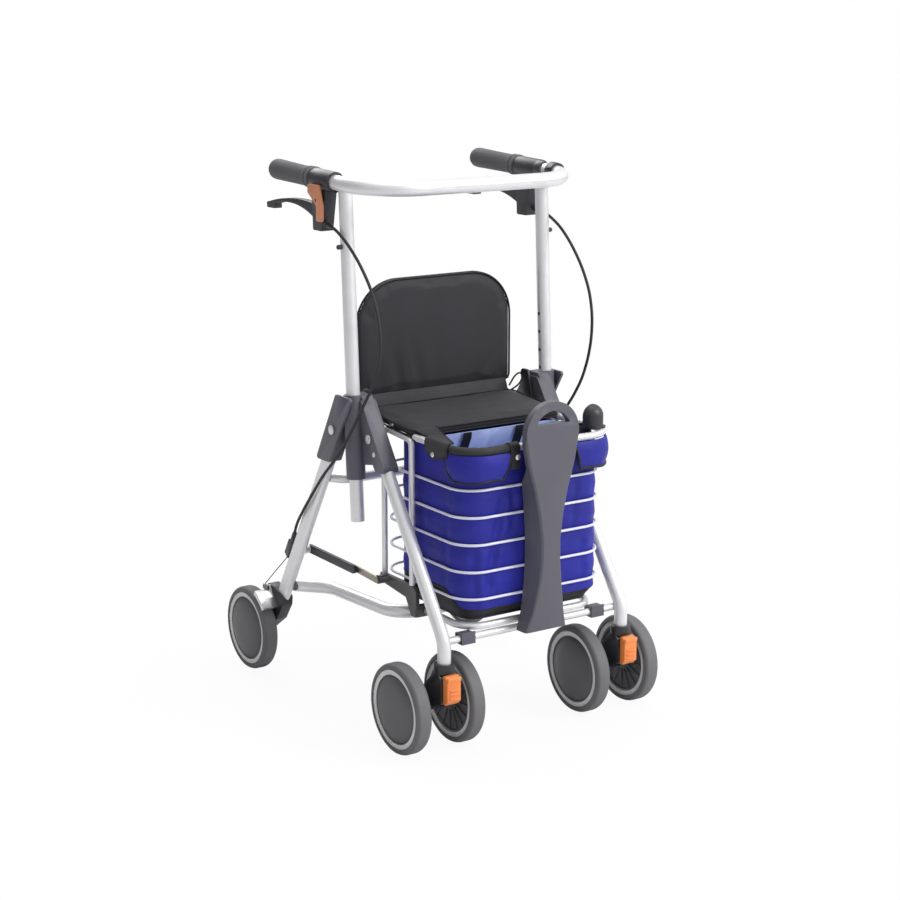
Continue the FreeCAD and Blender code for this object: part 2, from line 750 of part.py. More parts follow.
def rear_bow():
    """Lower bow: a wide U from one rear leg round under the basket to the other."""
    leg_inner_x = rear_leg_x - rear_leg_thickness / 2
    points = []
    for side in (-1, 1):
        half = [vec(side * rear_leg_x, rear_leg_y(bow_leg_z), bow_leg_z),
                vec(side * bow_side_x, bow_side_rear_y, bow_z(bow_side_rear_y)),
                vec(side * bow_side_x, bow_front_y, bow_front_z)]
        points += half if side < 0 else half[::-1]
    radii = [bow_flare_radius, bow_corner_radius, bow_corner_radius, bow_flare_radius]
    tube = bent_tube(points, radii, bow_tube_radius, tube_wall)
    limit = leg_inner_x - seat_gap
    return tube.common(block(-limit, limit, -wheel_base, wheel_base, 0, bar_front_z))


def brake_mount():
    """Right black fitting at the foot of the rear leg, with the axle boss and the brake's pivot."""
    foot_y = rear_leg_y(rear_leg_bottom_z)
    spread = rear_bracket_half_width
    sleeve_top = rear_leg_bottom_z + spread
    body = side_plate([(rear_leg_y(sleeve_top) - spread / 2, sleeve_top - spread / 4),
                       (rear_leg_y(sleeve_top) + spread, sleeve_top + spread / 4),
                       (brake_pivot_y + brake_pin_radius * 2, brake_pivot_z + brake_pin_radius * 2),
                       (brake_pivot_y + brake_pin_radius * 2, brake_pivot_z - brake_pin_radius * 2),
                       (foot_y + spread * 1.5, rear_leg_bottom_z - spread),
                       (rear_axle_y + brake_mount_boss_radius, wheel_radius),
                       (rear_axle_y, wheel_radius - brake_mount_boss_radius),
                       (foot_y, rear_leg_bottom_z - spread * 1.4),
                       (foot_y - spread, rear_leg_bottom_z)],
                      -brake_mount_outer_x, -brake_mount_inner_x, brake_pin_radius)
    boss = x_rod(-brake_mount_outer_x, -brake_mount_inner_x, rear_axle_y, wheel_radius, brake_mount_boss_radius)
    mount = joined([body, boss])
    socket = rear_leg_bar(rear_leg_bottom_z - seat_gap, rear_leg_top_z, rear_leg_width / 2 + seat_gap,
                          rear_leg_thickness / 2 + seat_gap)
    axle_bore = x_rod(-rear_wheel_x, 0, rear_axle_y, wheel_radius, axle_radius + seat_gap)
    pin = x_rod(-brake_mount_outer_x - face_gap - brake_arm_thickness, -brake_mount_outer_x, brake_pivot_y,
                brake_pivot_z, brake_pin_radius)
    return joined([mount.cut(socket).cut(axle_bore), pin])


def rear_axle():
    """Right rear axle with its outer cap and inner head."""
    outer_x = -rear_wheel_x - wheel_boss_width / 2 - face_gap
    shaft = x_rod(outer_x, -brake_mount_inner_x, rear_axle_y, wheel_radius, axle_radius)
    cap = x_rod(outer_x - axle_cap_thickness, outer_x, rear_axle_y, wheel_radius, axle_cap_radius)
    head = x_rod(-brake_mount_inner_x, -brake_mount_inner_x + bolt_head_height * 2, rear_axle_y, wheel_radius,
                 bolt_head_radius)
    return joined([shaft, cap, head])


def brake_shoe():
    """Right brake arm with a curved shoe above the tyre's tread."""
    arm_outer_x = -brake_mount_outer_x - face_gap - brake_arm_thickness
    arm_inner_x = -brake_mount_outer_x - face_gap
    shoe_outer_x = -rear_wheel_x - brake_shoe_width / 2
    near = wheel_radius + brake_shoe_gap
    far = near + brake_shoe_thickness
    shoe = x_rod(shoe_outer_x, arm_inner_x, rear_axle_y, wheel_radius, far)
    shoe = shoe.cut(x_rod(shoe_outer_x - cut_over, arm_inner_x + cut_over, rear_axle_y, wheel_radius, near))
    wedge_points = [vec(shoe_outer_x, rear_axle_y, wheel_radius)]
    for turn in (-1, 1):
        angle = math.radians(brake_shoe_angle_deg + turn * brake_shoe_half_angle_deg)
        wedge_points.append(vec(shoe_outer_x, rear_axle_y + 2 * far * math.cos(angle),
                                wheel_radius + 2 * far * math.sin(angle)))
    wedge_points.append(wedge_points[0])
    wedge = Part.Face(Part.makePolygon(wedge_points)).extrude(vec(arm_inner_x - shoe_outer_x, 0, 0))
    shoe = shoe.common(wedge)
    middle = math.radians(brake_shoe_angle_deg)
    mid_radius = near + brake_shoe_thickness / 2
    shoe_y = rear_axle_y + mid_radius * math.cos(middle)
    shoe_z = wheel_radius + mid_radius * math.sin(middle)
    arm = side_plate([(shoe_y - brake_arm_half_height / 2, shoe_z + brake_arm_half_height / 2),
                      (brake_pivot_y - brake_arm_half_height / 2, brake_pivot_z + brake_arm_half_height),
                      (brake_anchor_y + brake_arm_half_height, brake_anchor_z + brake_arm_half_height),
                      (brake_anchor_y + brake_arm_half_height, brake_anchor_z - brake_arm_half_height / 2),
                      (brake_pivot_y + brake_arm_half_height / 2, brake_pivot_z - brake_arm_half_height),
                      (shoe_y + brake_arm_half_height, shoe_z - brake_arm_half_height / 2)],
                     arm_outer_x, arm_inner_x, tube_wall)
    tyre_room = x_rod(arm_outer_x - cut_over, arm_inner_x + cut_over, rear_axle_y, wheel_radius, near)
    bore = x_rod(arm_outer_x - cut_over, arm_inner_x + cut_over, brake_pivot_y, brake_pivot_z,
                 brake_pin_radius + pin_gap)
    return joined([shoe, arm]).cut(tyre_room).cut(bore)


def cable_stop():
    """Right black stop behind the rear leg, where the cable's sleeve ends."""
    lean = math.radians(rear_leg_slope_deg)
    along = vec(0, -math.sin(lean), math.cos(lean))
    across = vec(0, math.cos(lean), math.sin(lean))
    near = rear_leg_width / 2 + seat_gap
    middle = vec(-rear_leg_x, rear_leg_y(cable_stop_z), cable_stop_z)

    def at(run, depth):
        return middle.add(vec(-cable_stop_width / 2, along.y * run + across.y * depth,
                              along.z * run + across.z * depth))

    half = cable_stop_length / 2
    corner = tube_wall * 2
    points = [at(-half, near), at(half, near), at(half, near + cable_stop_depth),
              at(-half + corner, near + cable_stop_depth)]
    return Part.Face(rounded_loop(points, [corner / 2] * 4)).extrude(vec(cable_stop_width, 0, 0))


def handlebar_path():
    """Centre line of the handlebar."""
    points = [vec(-bar_x, bar_rear_y, bar_z(bar_rear_y)), vec(-bar_x, bar_front_y, bar_front_z),
              vec(bar_x, bar_front_y, bar_front_z), vec(bar_x, bar_rear_y, bar_z(bar_rear_y))]
    return rounded_path(points, [bar_corner_radius] * 2)


def handlebar():
    """One tube from grip to grip round the front."""
    path = handlebar_path()
    return swept(path, bar_radius).cut(swept(path, bar_radius - tube_wall))


def upright():
    """Right upright with its row of height holes, cut to fit under the handlebar."""
    top_z = bar_z(upright_axis_y(bar_front_z))
    outer = upright_line(upright_bottom_z, top_z, upright_radius)
    inner = upright_line(upright_bottom_z - cut_over, top_z + cut_over, upright_radius - tube_wall)
    tube = outer.cut(inner)
    arm = rod(vec(-bar_x, bar_rear_y, bar_z(bar_rear_y)), vec(-bar_x, bar_front_y, bar_front_z),
              bar_radius + seat_gap)
    tube = tube.cut(arm)
    for index in range(height_hole_count):
        z = height_knob_z + (index - height_holes_below_knob) * height_hole_pitch
        tube = tube.cut(x_rod(-upright_x, 0, upright_axis_y(z), z, height_hole_radius))
    solids = sorted(tube.Solids, key=lambda solid: solid.Volume)
    return solids[-1]


def on_bar(y, radius_shift=0):
    """A point on the right side arm's axis."""
    return vec(-bar_x, y, bar_z(y) + radius_shift)


def grip():
    """Right grip, a little thicker towards its rounded end."""
    axis = on_bar(grip_rear_y).sub(on_bar(grip_front_y))
    length = axis.Length
    cone = Part.makeCone(grip_front_radius, grip_rear_radius, length, on_bar(grip_front_y), axis)
    end_edges = [edge for edge in cone.Edges if abs(edge.CenterOfMass.y - grip_rear_y) < grip_end_round]
    cone = cone.makeFillet(grip_end_round, [edge for edge in end_edges if edge.Closed][:1])
    return cone.cut(rod(on_bar(grip_front_y - cut_over), on_bar(bar_rear_y + seat_gap), bar_radius + seat_gap))


def brake_housing():
    """Right brake housing: a clamp round the bar and a body with a slot for the lever."""
    clamp = rod(on_bar(housing_clamp_front_y), on_bar(grip_front_y - face_gap), housing_clamp_radius)
    body = side_plate([(housing_front_top_y, housing_top_z), (housing_front_bottom_y, housing_bottom_z),
                       (housing_rear_bottom_y, housing_bottom_z), (housing_rear_top_y, housing_top_z)],
                      -bar_x - housing_half_width, -bar_x + housing_half_width, tube_wall * 2)
    housing = joined([clamp, body])
    housing = housing.cut(rod(on_bar(housing_clamp_front_y - cut_over), on_bar(grip_rear_y),
                              bar_radius + seat_gap))
    housing = housing.cut(rod(on_bar(grip_front_y - slide_gap), on_bar(grip_rear_y), grip_rear_radius + slide_gap))
    slot = block(-bar_x - housing_slot_half_width, -bar_x + housing_slot_half_width, housing_slot_front_y,
                 housing_rear_top_y + cut_over, housing_slot_bottom_z, housing_slot_top_z)
    lever_pin = x_rod(-bar_x - housing_slot_half_width, -bar_x + housing_slot_half_width, lever_pivot_y,
                      lever_pivot_z, lever_pin_radius)
    lock_pin = x_rod(-bar_x - housing_clamp_radius - slide_gap - parking_thickness,
                     -bar_x - housing_half_width, parking_pivot_y, parking_pivot_z, parking_pin_radius)
    return joined([housing.cut(slot), lever_pin, lock_pin])


def brake_lever():
    """Right brake lever: a deep root round its pin, an arched blade and a thicker tip."""
    low_x = -bar_x - lever_half_width
    high_x = -bar_x + lever_half_width
    root = x_rod(low_x, high_x, lever_pivot_y, lever_pivot_z, lever_root_radius)
    half = lever_thickness / 2
    root_top = vec(low_x, lever_pivot_y, lever_pivot_z + lever_root_radius)
    root_foot = vec(low_x, lever_pivot_y, lever_pivot_z - lever_root_radius)
    heel = vec(low_x, lever_pivot_y + lever_root_radius, lever_pivot_z - lever_root_radius)
    tip_top = vec(low_x, lever_tip_y, lever_tip_z + half)
    tip_foot = vec(low_x, lever_tip_y, lever_tip_z - half)
    edges = [
        Part.Arc(root_top, vec(low_x, lever_arch_y, lever_arch_z + half), tip_top).toShape(),
        Part.LineSegment(tip_top, tip_foot).toShape(),
        Part.Arc(tip_foot, vec(low_x, lever_arch_y, lever_arch_z - half), heel).toShape(),
        Part.LineSegment(heel, root_foot).toShape(),
        Part.LineSegment(root_foot, root_top).toShape(),
    ]
    blade = Part.Face(Part.Wire(edges)).extrude(vec(2 * lever_half_width, 0, 0))
    tip = side_plate([(lever_tip_y - lever_tip_length, lever_tip_z - lever_tip_height + half),
                      (lever_tip_y + half, lever_tip_z - lever_tip_height + half),
                      (lever_tip_y + half, lever_tip_z + half), (lever_tip_y - lever_tip_length, lever_tip_z + half)],
                     low_x, high_x, half / 2)
    bore = x_rod(low_x - cut_over, high_x + cut_over, lever_pivot_y, lever_pivot_z, lever_pin_radius + pin_gap)
    return joined([root, blade, tip]).cut(bore)


def parking_lock():
    """Right parking lock: an upright tail on its pin that bends back into a broad thumb pad."""
    inner_x = -bar_x - housing_clamp_radius - slide_gap
    outer_x = inner_x - parking_thickness
    tail = parking_tail_half_width
    head = parking_head_half_width
    top_z = parking_head_z + parking_head_half_height
    body = side_plate([(parking_tail_y - tail, parking_tail_bottom_z), (parking_tail_y + tail, parking_tail_bottom_z),
                       (parking_tail_y + tail, parking_knee_z),
                       (parking_head_y + head, parking_head_z - parking_head_half_height),
                       (parking_head_y + head, top_z), (parking_head_y - head, top_z),
                       (parking_tail_y - tail, parking_knee_z)],
                      outer_x, inner_x, tail / 2)
    bore = x_rod(outer_x - cut_over, inner_x + cut_over, parking_pivot_y, parking_pivot_z,
                 parking_pin_radius + pin_gap)
    return body.cut(bore)


def cane_clip():
    """Clip on the left side arm: a ring round the bar and an open hooked cradle for a cane."""
    rear_y = cane_ring_front_y + cane_ring_length
    path = handlebar_path()
    room = block(0, bar_x * 2, cane_ring_front_y, rear_y, 0, bar_front_z * 2)
    ring = swept(path, bar_radius + cane_ring_wall).common(room)
    cradle_x = bar_x - bar_radius - cane_cradle_radius
    z = bar_z(rear_y) + cane_cradle_rise
    cradle = Part.makeCylinder(cane_cradle_radius, cane_ring_length, vec(cradle_x, cane_ring_front_y, z), Y_AXIS)
    bore = Part.makeCylinder(cane_cradle_radius - cane_cradle_wall, cane_ring_length + cut_over * 2,
                             vec(cradle_x, cane_ring_front_y - cut_over, z), Y_AXIS)
    mouth = block(cradle_x, cradle_x + cane_cradle_radius * 2, cane_ring_front_y - cut_over, rear_y + cut_over,
                  z, z + cane_cradle_radius * 2)
    return joined([ring, cradle.cut(mouth)]).cut(bore).cut(swept(path, bar_radius + seat_gap))


def brace_bar():
    """Right rear brace: a bar from the rear leg to the knee, with the knee's pin."""
    low_x = -brace_outer_x
    high_x = low_x + brace_bar_thickness
    half = brace_bar_half_height
    body = joined([side_plate([(brace_knee_y, brace_knee_z - half), (brace_rear_y, brace_rear_z - half),
                               (brace_rear_y, brace_rear_z + half), (brace_knee_y, brace_knee_z + half)],
                              low_x, high_x, tube_wall),
                   x_rod(low_x, high_x, brace_rear_y, brace_rear_z, half),
                   x_rod(low_x, high_x, brace_knee_y, brace_knee_z, half)])
    bore = x_rod(low_x - cut_over, high_x + cut_over, brace_rear_y, brace_rear_z, brace_pin_radius + pin_gap)
    knee_pin = x_rod(high_x - brace_bar_thickness / 2, high_x + brace_face_gap + brace_strip_thickness + face_gap * 2,
                     brace_knee_y, brace_knee_z, brace_pin_radius)
    return joined([body.cut(bore), knee_pin])


def brace_strip():
    """Right front brace: a thin strip from the knee to the basket's bracket."""
    low_x = -brace_outer_x + brace_bar_thickness + brace_face_gap
    high_x = low_x + brace_strip_thickness
    half = brace_strip_half_height
    body = joined([side_plate([(brace_front_y, brace_front_z - half), (brace_knee_y, brace_knee_z - half),
                               (brace_knee_y, brace_knee_z + half), (brace_front_y, brace_front_z + half)],
                              low_x, high_x, tube_wall),
                   x_rod(low_x, high_x, brace_front_y, brace_front_z, half),
                   x_rod(low_x, high_x, brace_knee_y, brace_knee_z, half)])
    bore = x_rod(low_x - cut_over, high_x + cut_over, brace_knee_y, brace_knee_z, brace_pin_radius + pin_gap)
    return body.cut(bore)


def brace_pin():
    """Right pin that carries the rear brace on the leg."""
    leg_inner_x = -rear_leg_x + rear_leg_thickness / 2
    outer = x_rod(leg_inner_x + seat_gap, -brace_outer_x - brace_face_gap, brace_rear_y, brace_rear_z,
                  brace_bar_half_height)
    pin = x_rod(-brace_outer_x - brace_face_gap, -brace_outer_x + brace_bar_thickness + face_gap, brace_rear_y,
                brace_rear_z, brace_pin_radius)
    head = x_rod(-brace_outer_x + brace_bar_thickness + face_gap,
                 -brace_outer_x + brace_bar_thickness + face_gap + rivet_head_height, brace_rear_y, brace_rear_z,
                 brace_bar_half_height - tube_wall)
    return joined([outer, pin, head])


def rail_z(y):
    """Height of the basket hoops' top rail."""
    return hoop_rail_rear_z + (y - hoop_rear_y) * slope(hoop_rail_slope_deg)


def side_hoop():
    """Right hoop: a rear post, a top rail and a front post."""
    points = [vec(-hoop_x, hoop_rear_y, hoop_bottom_z), vec(-hoop_x, hoop_rear_y, rail_z(hoop_rear_y)),
              vec(-hoop_x, hoop_front_y, rail_z(hoop_front_y)), vec(-hoop_x, hoop_front_y, hoop_bottom_z)]
    return bent_tube(points, [hoop_bend_radius] * 2, hoop_tube_radius, tube_wall)


def lower_bracket():
    """Right cast bracket under the hoop, with the brace's boss and the bottom tube's lug."""
    half = lower_bracket_thickness / 2
    low_x = -hoop_x - half
    high_x = -hoop_x + half
    top_z = hoop_bottom_z - seat_gap
    depth = brace_bar_half_height * 2
    leg_half = lower_bracket_leg_width / 2
    plate = side_plate([(hoop_rear_y + hoop_tube_radius * 2, top_z), (hoop_rear_y + hoop_tube_radius * 2, top_z - depth),
                        (hoop_front_y + depth, top_z - depth * 1.6),
                        (lower_bracket_leg_y + leg_half, lower_bracket_foot_z),
                        (lower_bracket_leg_y - leg_half, lower_bracket_foot_z),
                        (lower_bracket_leg_y - leg_half, top_z - depth / 2), (hoop_front_y - hoop_tube_radius, top_z)],
                       low_x, high_x, tube_wall)
    boss_end_x = -brace_outer_x + brace_bar_thickness + brace_face_gap + brace_strip_thickness + brace_face_gap
    boss = x_rod(boss_end_x, low_x + seat_gap, brace_front_y, brace_front_z, brace_bar_half_height)
    lug = block(-hoop_x, -bottom_tube_half_width + bottom_tube_radius + tube_wall * 2,
                lower_bracket_leg_y - leg_half, lower_bracket_leg_y + leg_half, lower_bracket_foot_z,
                bottom_tube_z + bottom_tube_radius + tube_wall * 2)
    bracket = joined([plate, boss, lug])
    socket = rod(vec(-bottom_tube_half_width, lower_bracket_leg_y, bottom_tube_z),
                 vec(-bottom_tube_half_width, lower_bracket_leg_y - wheel_radius, bottom_tube_z),
                 bottom_tube_radius + seat_gap)
    return bracket.cut(socket)


def basket_bottom_tube():
    """U tube under the basket, open to the rear."""
    points = [vec(-bottom_tube_half_width, lower_bracket_leg_y - seat_gap, bottom_tube_z),
              vec(-bottom_tube_half_width, front_cross_tube_y, bottom_tube_z),
              vec(bottom_tube_half_width, front_cross_tube_y, bottom_tube_z),
              vec(bottom_tube_half_width, lower_bracket_leg_y - seat_gap, bottom_tube_z)]
    return bent_tube(points, [bottom_tube_corner_radius] * 2, bottom_tube_radius, tube_wall)


def basket_ring(z):
    """One closed wire ring of the basket."""
    halves = []
    middle_y = (ring_front_y + ring_rear_y) / 2
    for y in (ring_front_y, ring_rear_y):
        points = [vec(-ring_half_width, middle_y, z), vec(-ring_half_width, y, z), vec(ring_half_width, y, z),
                  vec(ring_half_width, middle_y, z)]
        halves.append(swept(rounded_path(points, [ring_corner_radius] * 2), ring_wire_radius))
    return joined(halves)


def basket_rim():
    """Rim tube round the front of the basket's mouth."""
    rear_y = hoop_front_y - hoop_tube_radius - seat_gap
    points = [vec(-rim_half_width, rear_y, rim_z), vec(-rim_half_width, rim_front_y, rim_z),
              vec(rim_half_width, rim_front_y, rim_z), vec(rim_half_width, rear_y, rim_z)]
    tube = bent_tube(points, [rim_corner_radius] * 2, rim_tube_radius, tube_wall)
    for side in (-1, 1):
        rail = rod(vec(side * hoop_x, hoop_rear_y, rail_z(hoop_rear_y)),
                   vec(side * hoop_x, hoop_front_y - hoop_bend_radius, rail_z(hoop_front_y - hoop_bend_radius)),
                   hoop_tube_radius + seat_gap)
        tube = tube.cut(rail)
    return sorted(tube.Solids, key=lambda solid: solid.Volume)[-1]


def bag_shell(inset, bottom_z, top_z):
    """The bag's body, drawn in at the bottom, shrunk by an inset."""
    levels = [(bottom_z, bag_bottom_inset), (bottom_z + bag_round_height / 3, bag_bottom_inset / 3),
              (bottom_z + bag_round_height, 0), (top_z, 0)]
    wires = []
    for z, draw in levels:
        shrink = inset + draw
        wires.append(flat_loop(bag_half_width - shrink, bag_front_y + shrink, bag_rear_y - shrink, z,
                               bag_front_radius - inset, bag_rear_radius - inset))
    return Part.makeLoft(wires, True, True)


def bag_flap():
    """Right flap of the bag, folded out over the rim."""
    gap = rim_tube_radius + soft_gap
    outer = gap + flap_thickness
    walls = []
    for reach in (outer, gap):
        loop = flat_loop(rim_half_width + reach, rim_front_y - reach, seat_rear_y, flap_bottom_z,
                         rim_corner_radius + reach, rim_corner_radius)
        walls.append(Part.Face(loop).extrude(vec(0, 0, flap_top_z - flap_bottom_z)))
    shell = walls[0].cut(walls[1])
    room = block(-rim_half_width * 2, -flap_inner_x, rim_front_y * 2, flap_rear_y, 0, bar_front_z)
    return shell.common(room)


def bag():
    """The bag and its two folded flaps."""
    outer = bag_shell(0, bag_bottom_z, bag_top_z)
    inner = bag_shell(bag_wall, bag_bottom_z + bag_wall, bag_top_z + cut_over)
    flap = bag_flap()
    return [outer.cut(inner)] + pair(flap)


seat_section_shares = [(0, 0.985), (0.35, 1.0), (0.8, 0.985), (1, 0.9)]


def seat_pad():
    """Seat pad over the hoops: crowned, with its sides drawn in between the corners."""
    loops = []
    middle_y = (seat_front_y + seat_rear_y) / 2
    half_depth = (seat_rear_y - seat_front_y) / 2
    for height_share, size_share in seat_section_shares:
        height = soft_gap + hoop_tube_radius + height_share * (seat_thickness + seat_crown)
        half_x = seat_half_width * size_share
        half_y = half_depth * size_share
        radius = seat_corner_radius

        def at(x, y):
            return vec(x, middle_y + y, rail_z(middle_y + y) + height)

        def side(a, b):
            middle = vec((a[0] + b[0]) / 2, (a[1] + b[1]) / 2, 0)
            pull = 1 - seat_side_draw / max(abs(middle.x), abs(middle.y))
            return Part.Arc(at(*a), at(middle.x * pull, middle.y * pull), at(*b)).toShape()

        corners = []
        for sx, sy in ((-1, -1), (1, -1), (1, 1), (-1, 1)):
            corners.append(((sx * half_x, sy * (half_y - radius)), (sx * (half_x - radius), sy * half_y),
                            (sx * (half_x - radius * 0.3), sy * (half_y - radius * 0.3))))
        order = [(0, True), (1, False), (2, True), (3, False)]
        edges = []
        ends = []
        for index, flip in order:
            on_side, on_end, bulge = corners[index]
            first, last = (on_side, on_end) if flip else (on_end, on_side)
            ends.append((first, last))
            edges.append(Part.Arc(at(*first), at(*bulge), at(*last)).toShape())
            following = corners[(index + 1) % 4]
            next_first = following[1] if flip else following[0]
            edges.append(side(last, next_first))
        loops.append(Part.Wire(edges))
    pad = Part.makeLoft(loops, True, False)
    half = backrest_bottom_half_width - backrest_foot_radius
    return joined([pad, x_rod(-half, half, backrest_hinge_y, backrest_hinge_z, backrest_hinge_radius)])


def backrest_outline(y, inset):
    """Outline of the backrest at a depth, shrunk by an inset."""
    half_top = backrest_half_width - inset
    half_bottom = backrest_bottom_half_width - inset
    low = backrest_bottom_z + inset
    high = backrest_top_z - inset
    points = [vec(-half_bottom, y, low), vec(half_bottom, y, low), vec(half_top, y, high), vec(-half_top, y, high)]
    foot = backrest_foot_radius
    return rounded_loop(points, [foot, foot, backrest_corner_radius, backrest_corner_radius])


backrest_section_shares = [(0, 0.62), (0.1, 0.25), (0.3, 0), (0.7, 0), (0.9, 0.25), (1, 0.62)]


def backrest_pad():
    """Backrest pad, thickest in the middle and drawn in round its edge."""
    outlines = [backrest_outline(backrest_front_y + depth * backrest_thickness, inset * backrest_thickness)
                for depth, inset in backrest_section_shares]
    pad = Part.makeLoft(outlines, True, True)
    half = backrest_bottom_half_width - backrest_foot_radius
    strip = block(-half, half, backrest_front_y, backrest_front_y + backrest_strip_thickness,
                  backrest_hinge_z - backrest_hinge_radius, backrest_bottom_z + backrest_thickness)
    return joined([pad, strip])


panel_section_shares = [
    (0.0, 0.78, 0.8, 0.66), (0.095, 0.6, 0.64, 0.84), (0.24, 0.44, 0.54, 0.97), (0.36, 0.365, 0.5, 1.0),
    (0.465, 0.36, 0.5, 1.0), (0.59, 0.455, 0.55, 1.0), (0.72, 0.63, 0.62, 1.0), (0.855, 0.88, 0.8, 1.0),
    (0.95, 0.985, 0.96, 1.0), (1.0, 0.98, 0.98, 1.0),
]


def panel_loft(inset, front_inset, back_reach):
    """Body of the front panel: broad at both ends, narrow and deep at the waist."""
    wires = []
    back_y = panel_front_y + panel_depth
    height = panel_shoulder_z - panel_bottom_z
    for height_share, front_share, back_share, depth_share in panel_section_shares:
        z = panel_bottom_z + height * height_share
        front_half = panel_end_half_width * front_share - inset
        back_half = panel_end_half_width * back_share - inset
        front_y = back_y - panel_depth * depth_share + front_inset
        chamfer = (panel_edge_radius - inset) / 2
        points = [vec(-front_half + chamfer, front_y, z), vec(front_half - chamfer, front_y, z),
                  vec(front_half, front_y + chamfer, z), vec(back_half, back_y + back_reach, z),
                  vec(-back_half, back_y + back_reach, z), vec(-front_half, front_y + chamfer, z)]
        points.append(points[0])
        wires.append(Part.makePolygon(points))
    return Part.makeLoft(wires, True, True)


def front_panel():
    """Front carrying handle: a waisted shell with a hand loop on top, trimmed back where it passes the rim."""
    loop_front_y = panel_front_y + panel_depth * (1 - panel_section_shares[-1][3])
    loop_rear_y = loop_front_y + panel_loop_thickness
    back_y = panel_front_y + panel_depth
    shell = panel_loft(0, 0, 0)
    pocket = panel_loft(panel_wall, panel_wall, cut_over)
    pocket = pocket.common(block(-panel_loop_radius, panel_loop_radius, panel_front_y * 2, 0,
                                 panel_bottom_z + panel_wall, panel_pocket_top_z))
    top_z = panel_shoulder_z + panel_loop_radius * 2
    corners = [(back_y, panel_trim_low_z), (loop_rear_y, panel_trim_high_z), (loop_rear_y, top_z), (0, top_z),
               (0, panel_trim_low_z), (back_y, panel_trim_low_z)]
    outline = Part.makePolygon([vec(-panel_loop_radius * 2, y, z) for y, z in corners])
    rear_room = Part.Face(outline).extrude(vec(panel_loop_radius * 4, 0, 0))
    disc = Part.makeCylinder(panel_loop_radius, panel_loop_thickness, vec(0, loop_front_y, panel_shoulder_z), Y_AXIS)
    body = joined([shell.cut(pocket).cut(rear_room), disc])
    hole = Part.makeCylinder(panel_hole_radius, panel_loop_thickness * 3,
                             vec(0, loop_front_y - panel_loop_thickness, panel_shoulder_z), Y_AXIS)
    hole = hole.common(block(-panel_loop_radius, panel_loop_radius, panel_front_y * 2, 0,
                             panel_shoulder_z + panel_hole_floor, top_z))
    return body.cut(hole)


def cane_cup():
    """Left cup for a cane's tip inside the bag's front corner, hooked over the rim, with a domed guard."""
    angle = math.radians(cane_cup_angle_deg)

    def outward(corner_x, corner_y, reach, z):
        return vec(corner_x + reach * math.cos(angle), corner_y - reach * math.sin(angle), z)

    bag_reach = bag_front_radius - bag_wall - cane_cup_gap - cane_cup_radius
    bag_corner = (bag_half_width - bag_front_radius, bag_front_y + bag_front_radius)
    rim_corner = (rim_half_width - rim_corner_radius, rim_front_y + rim_corner_radius)
    dome_reach = rim_corner_radius - rim_tube_radius - cane_dome_radius + cane_dome_shift
    flange_z = rim_z + rim_tube_radius + seat_gap
    top_z = flange_z + cane_flange_thickness
    dome_z = top_z + cane_dome_rise
    wall = cane_cup_wall
    cup = rod(outward(*bag_corner, bag_reach, rim_z - cane_cup_depth), outward(*bag_corner, bag_reach, top_z),
              cane_cup_radius)
    bore = rod(outward(*bag_corner, bag_reach, rim_z - cane_cup_depth + wall),
               outward(*bag_corner, bag_reach, dome_z + cane_dome_radius + cut_over), cane_cup_radius - wall)
    flange = rod(outward(*rim_corner, dome_reach, flange_z), outward(*rim_corner, dome_reach, top_z),
                 cane_dome_radius)
    hook = rod(outward(*rim_corner, rim_corner_radius - rim_tube_radius, flange_z),
               outward(*rim_corner, rim_corner_radius - rim_tube_radius, top_z), cane_cup_radius - wall)
    shells = []
    for radius in (cane_dome_radius, cane_dome_radius - wall):
        post = rod(outward(*rim_corner, dome_reach, flange_z + wall / 2), outward(*rim_corner, dome_reach, dome_z),
                   radius)
        shells.append(post.fuse(Part.makeSphere(radius, outward(*rim_corner, dome_reach, dome_z))))
    middle = outward(*rim_corner, dome_reach, top_z)
    front_room = block(middle.x - cane_dome_radius * 2, middle.x + cane_dome_radius * 2,
                       middle.y - cane_dome_radius * 2, middle.y, top_z - wall, bar_front_z)
    guard = shells[0].cut(shells[1]).common(front_room)
    return joined([cup, flange, hook, guard]).cut(bore)


upper_cable_route = [
    (-210, 2.7, 829), (-211, -30, 823), (-212, -68, 805), (-211, -103, 778), (-210, -136, 742), (-210, -158, 703),
    (-210, -167, 662), (-211, -164, 622), (-215, -150, 585), (-221, -126, 545), (-222, -101, 511), (-222, -83, 490),
]
lower_cable_route = [
    (-222, -82.8, 489.8), (-222, -59, 462), (-221, -30, 436), (-220, 3, 409), (-217, 42, 372), (-215, 82, 331),
    (-211, 118, 294), (-203, 144.1, 257.4),
]


def cable(name, route):
    """A cable's sleeve along its route, each arc as large as its two runs allow."""
    points = [vec(*place) for place in route]
    radii = []
    for index in range(1, len(points) - 1):
        into = points[index].sub(points[index - 1])
        away = points[index + 1].sub(points[index])
        turn = into.getAngle(away)
        radii.append(cable_arc_share * min(into.Length, away.Length) / math.tan(turn / 2))
    path = rounded_path(points, radii)
    sleeve = swept(path, cable_radius)
    section = math.pi * cable_radius ** 2
    print(name, "radii", [round(radius) for radius in radii], "length", round(path.Length, 1),
          "volume ratio", round(sleeve.Volume / (section * path.Length), 4))
    return sleeve


def inner_wire():
    """Right bare wire from the cable stop to the brake arm."""
    lean = math.radians(rear_leg_slope_deg)
    half = cable_stop_length / 2 + seat_gap
    depth = rear_leg_width / 2 + cable_stop_depth / 2
    start = vec(-rear_leg_x, rear_leg_y(cable_stop_z) + math.sin(lean) * half + math.cos(lean) * depth,
                cable_stop_z - math.cos(lean) * half + math.sin(lean) * depth)
    end = vec(-brake_mount_outer_x - face_gap - brake_arm_thickness / 2, brake_anchor_y,
              brake_anchor_z + brake_arm_half_height * 1.25)
    return rod(start, end, inner_wire_radius)


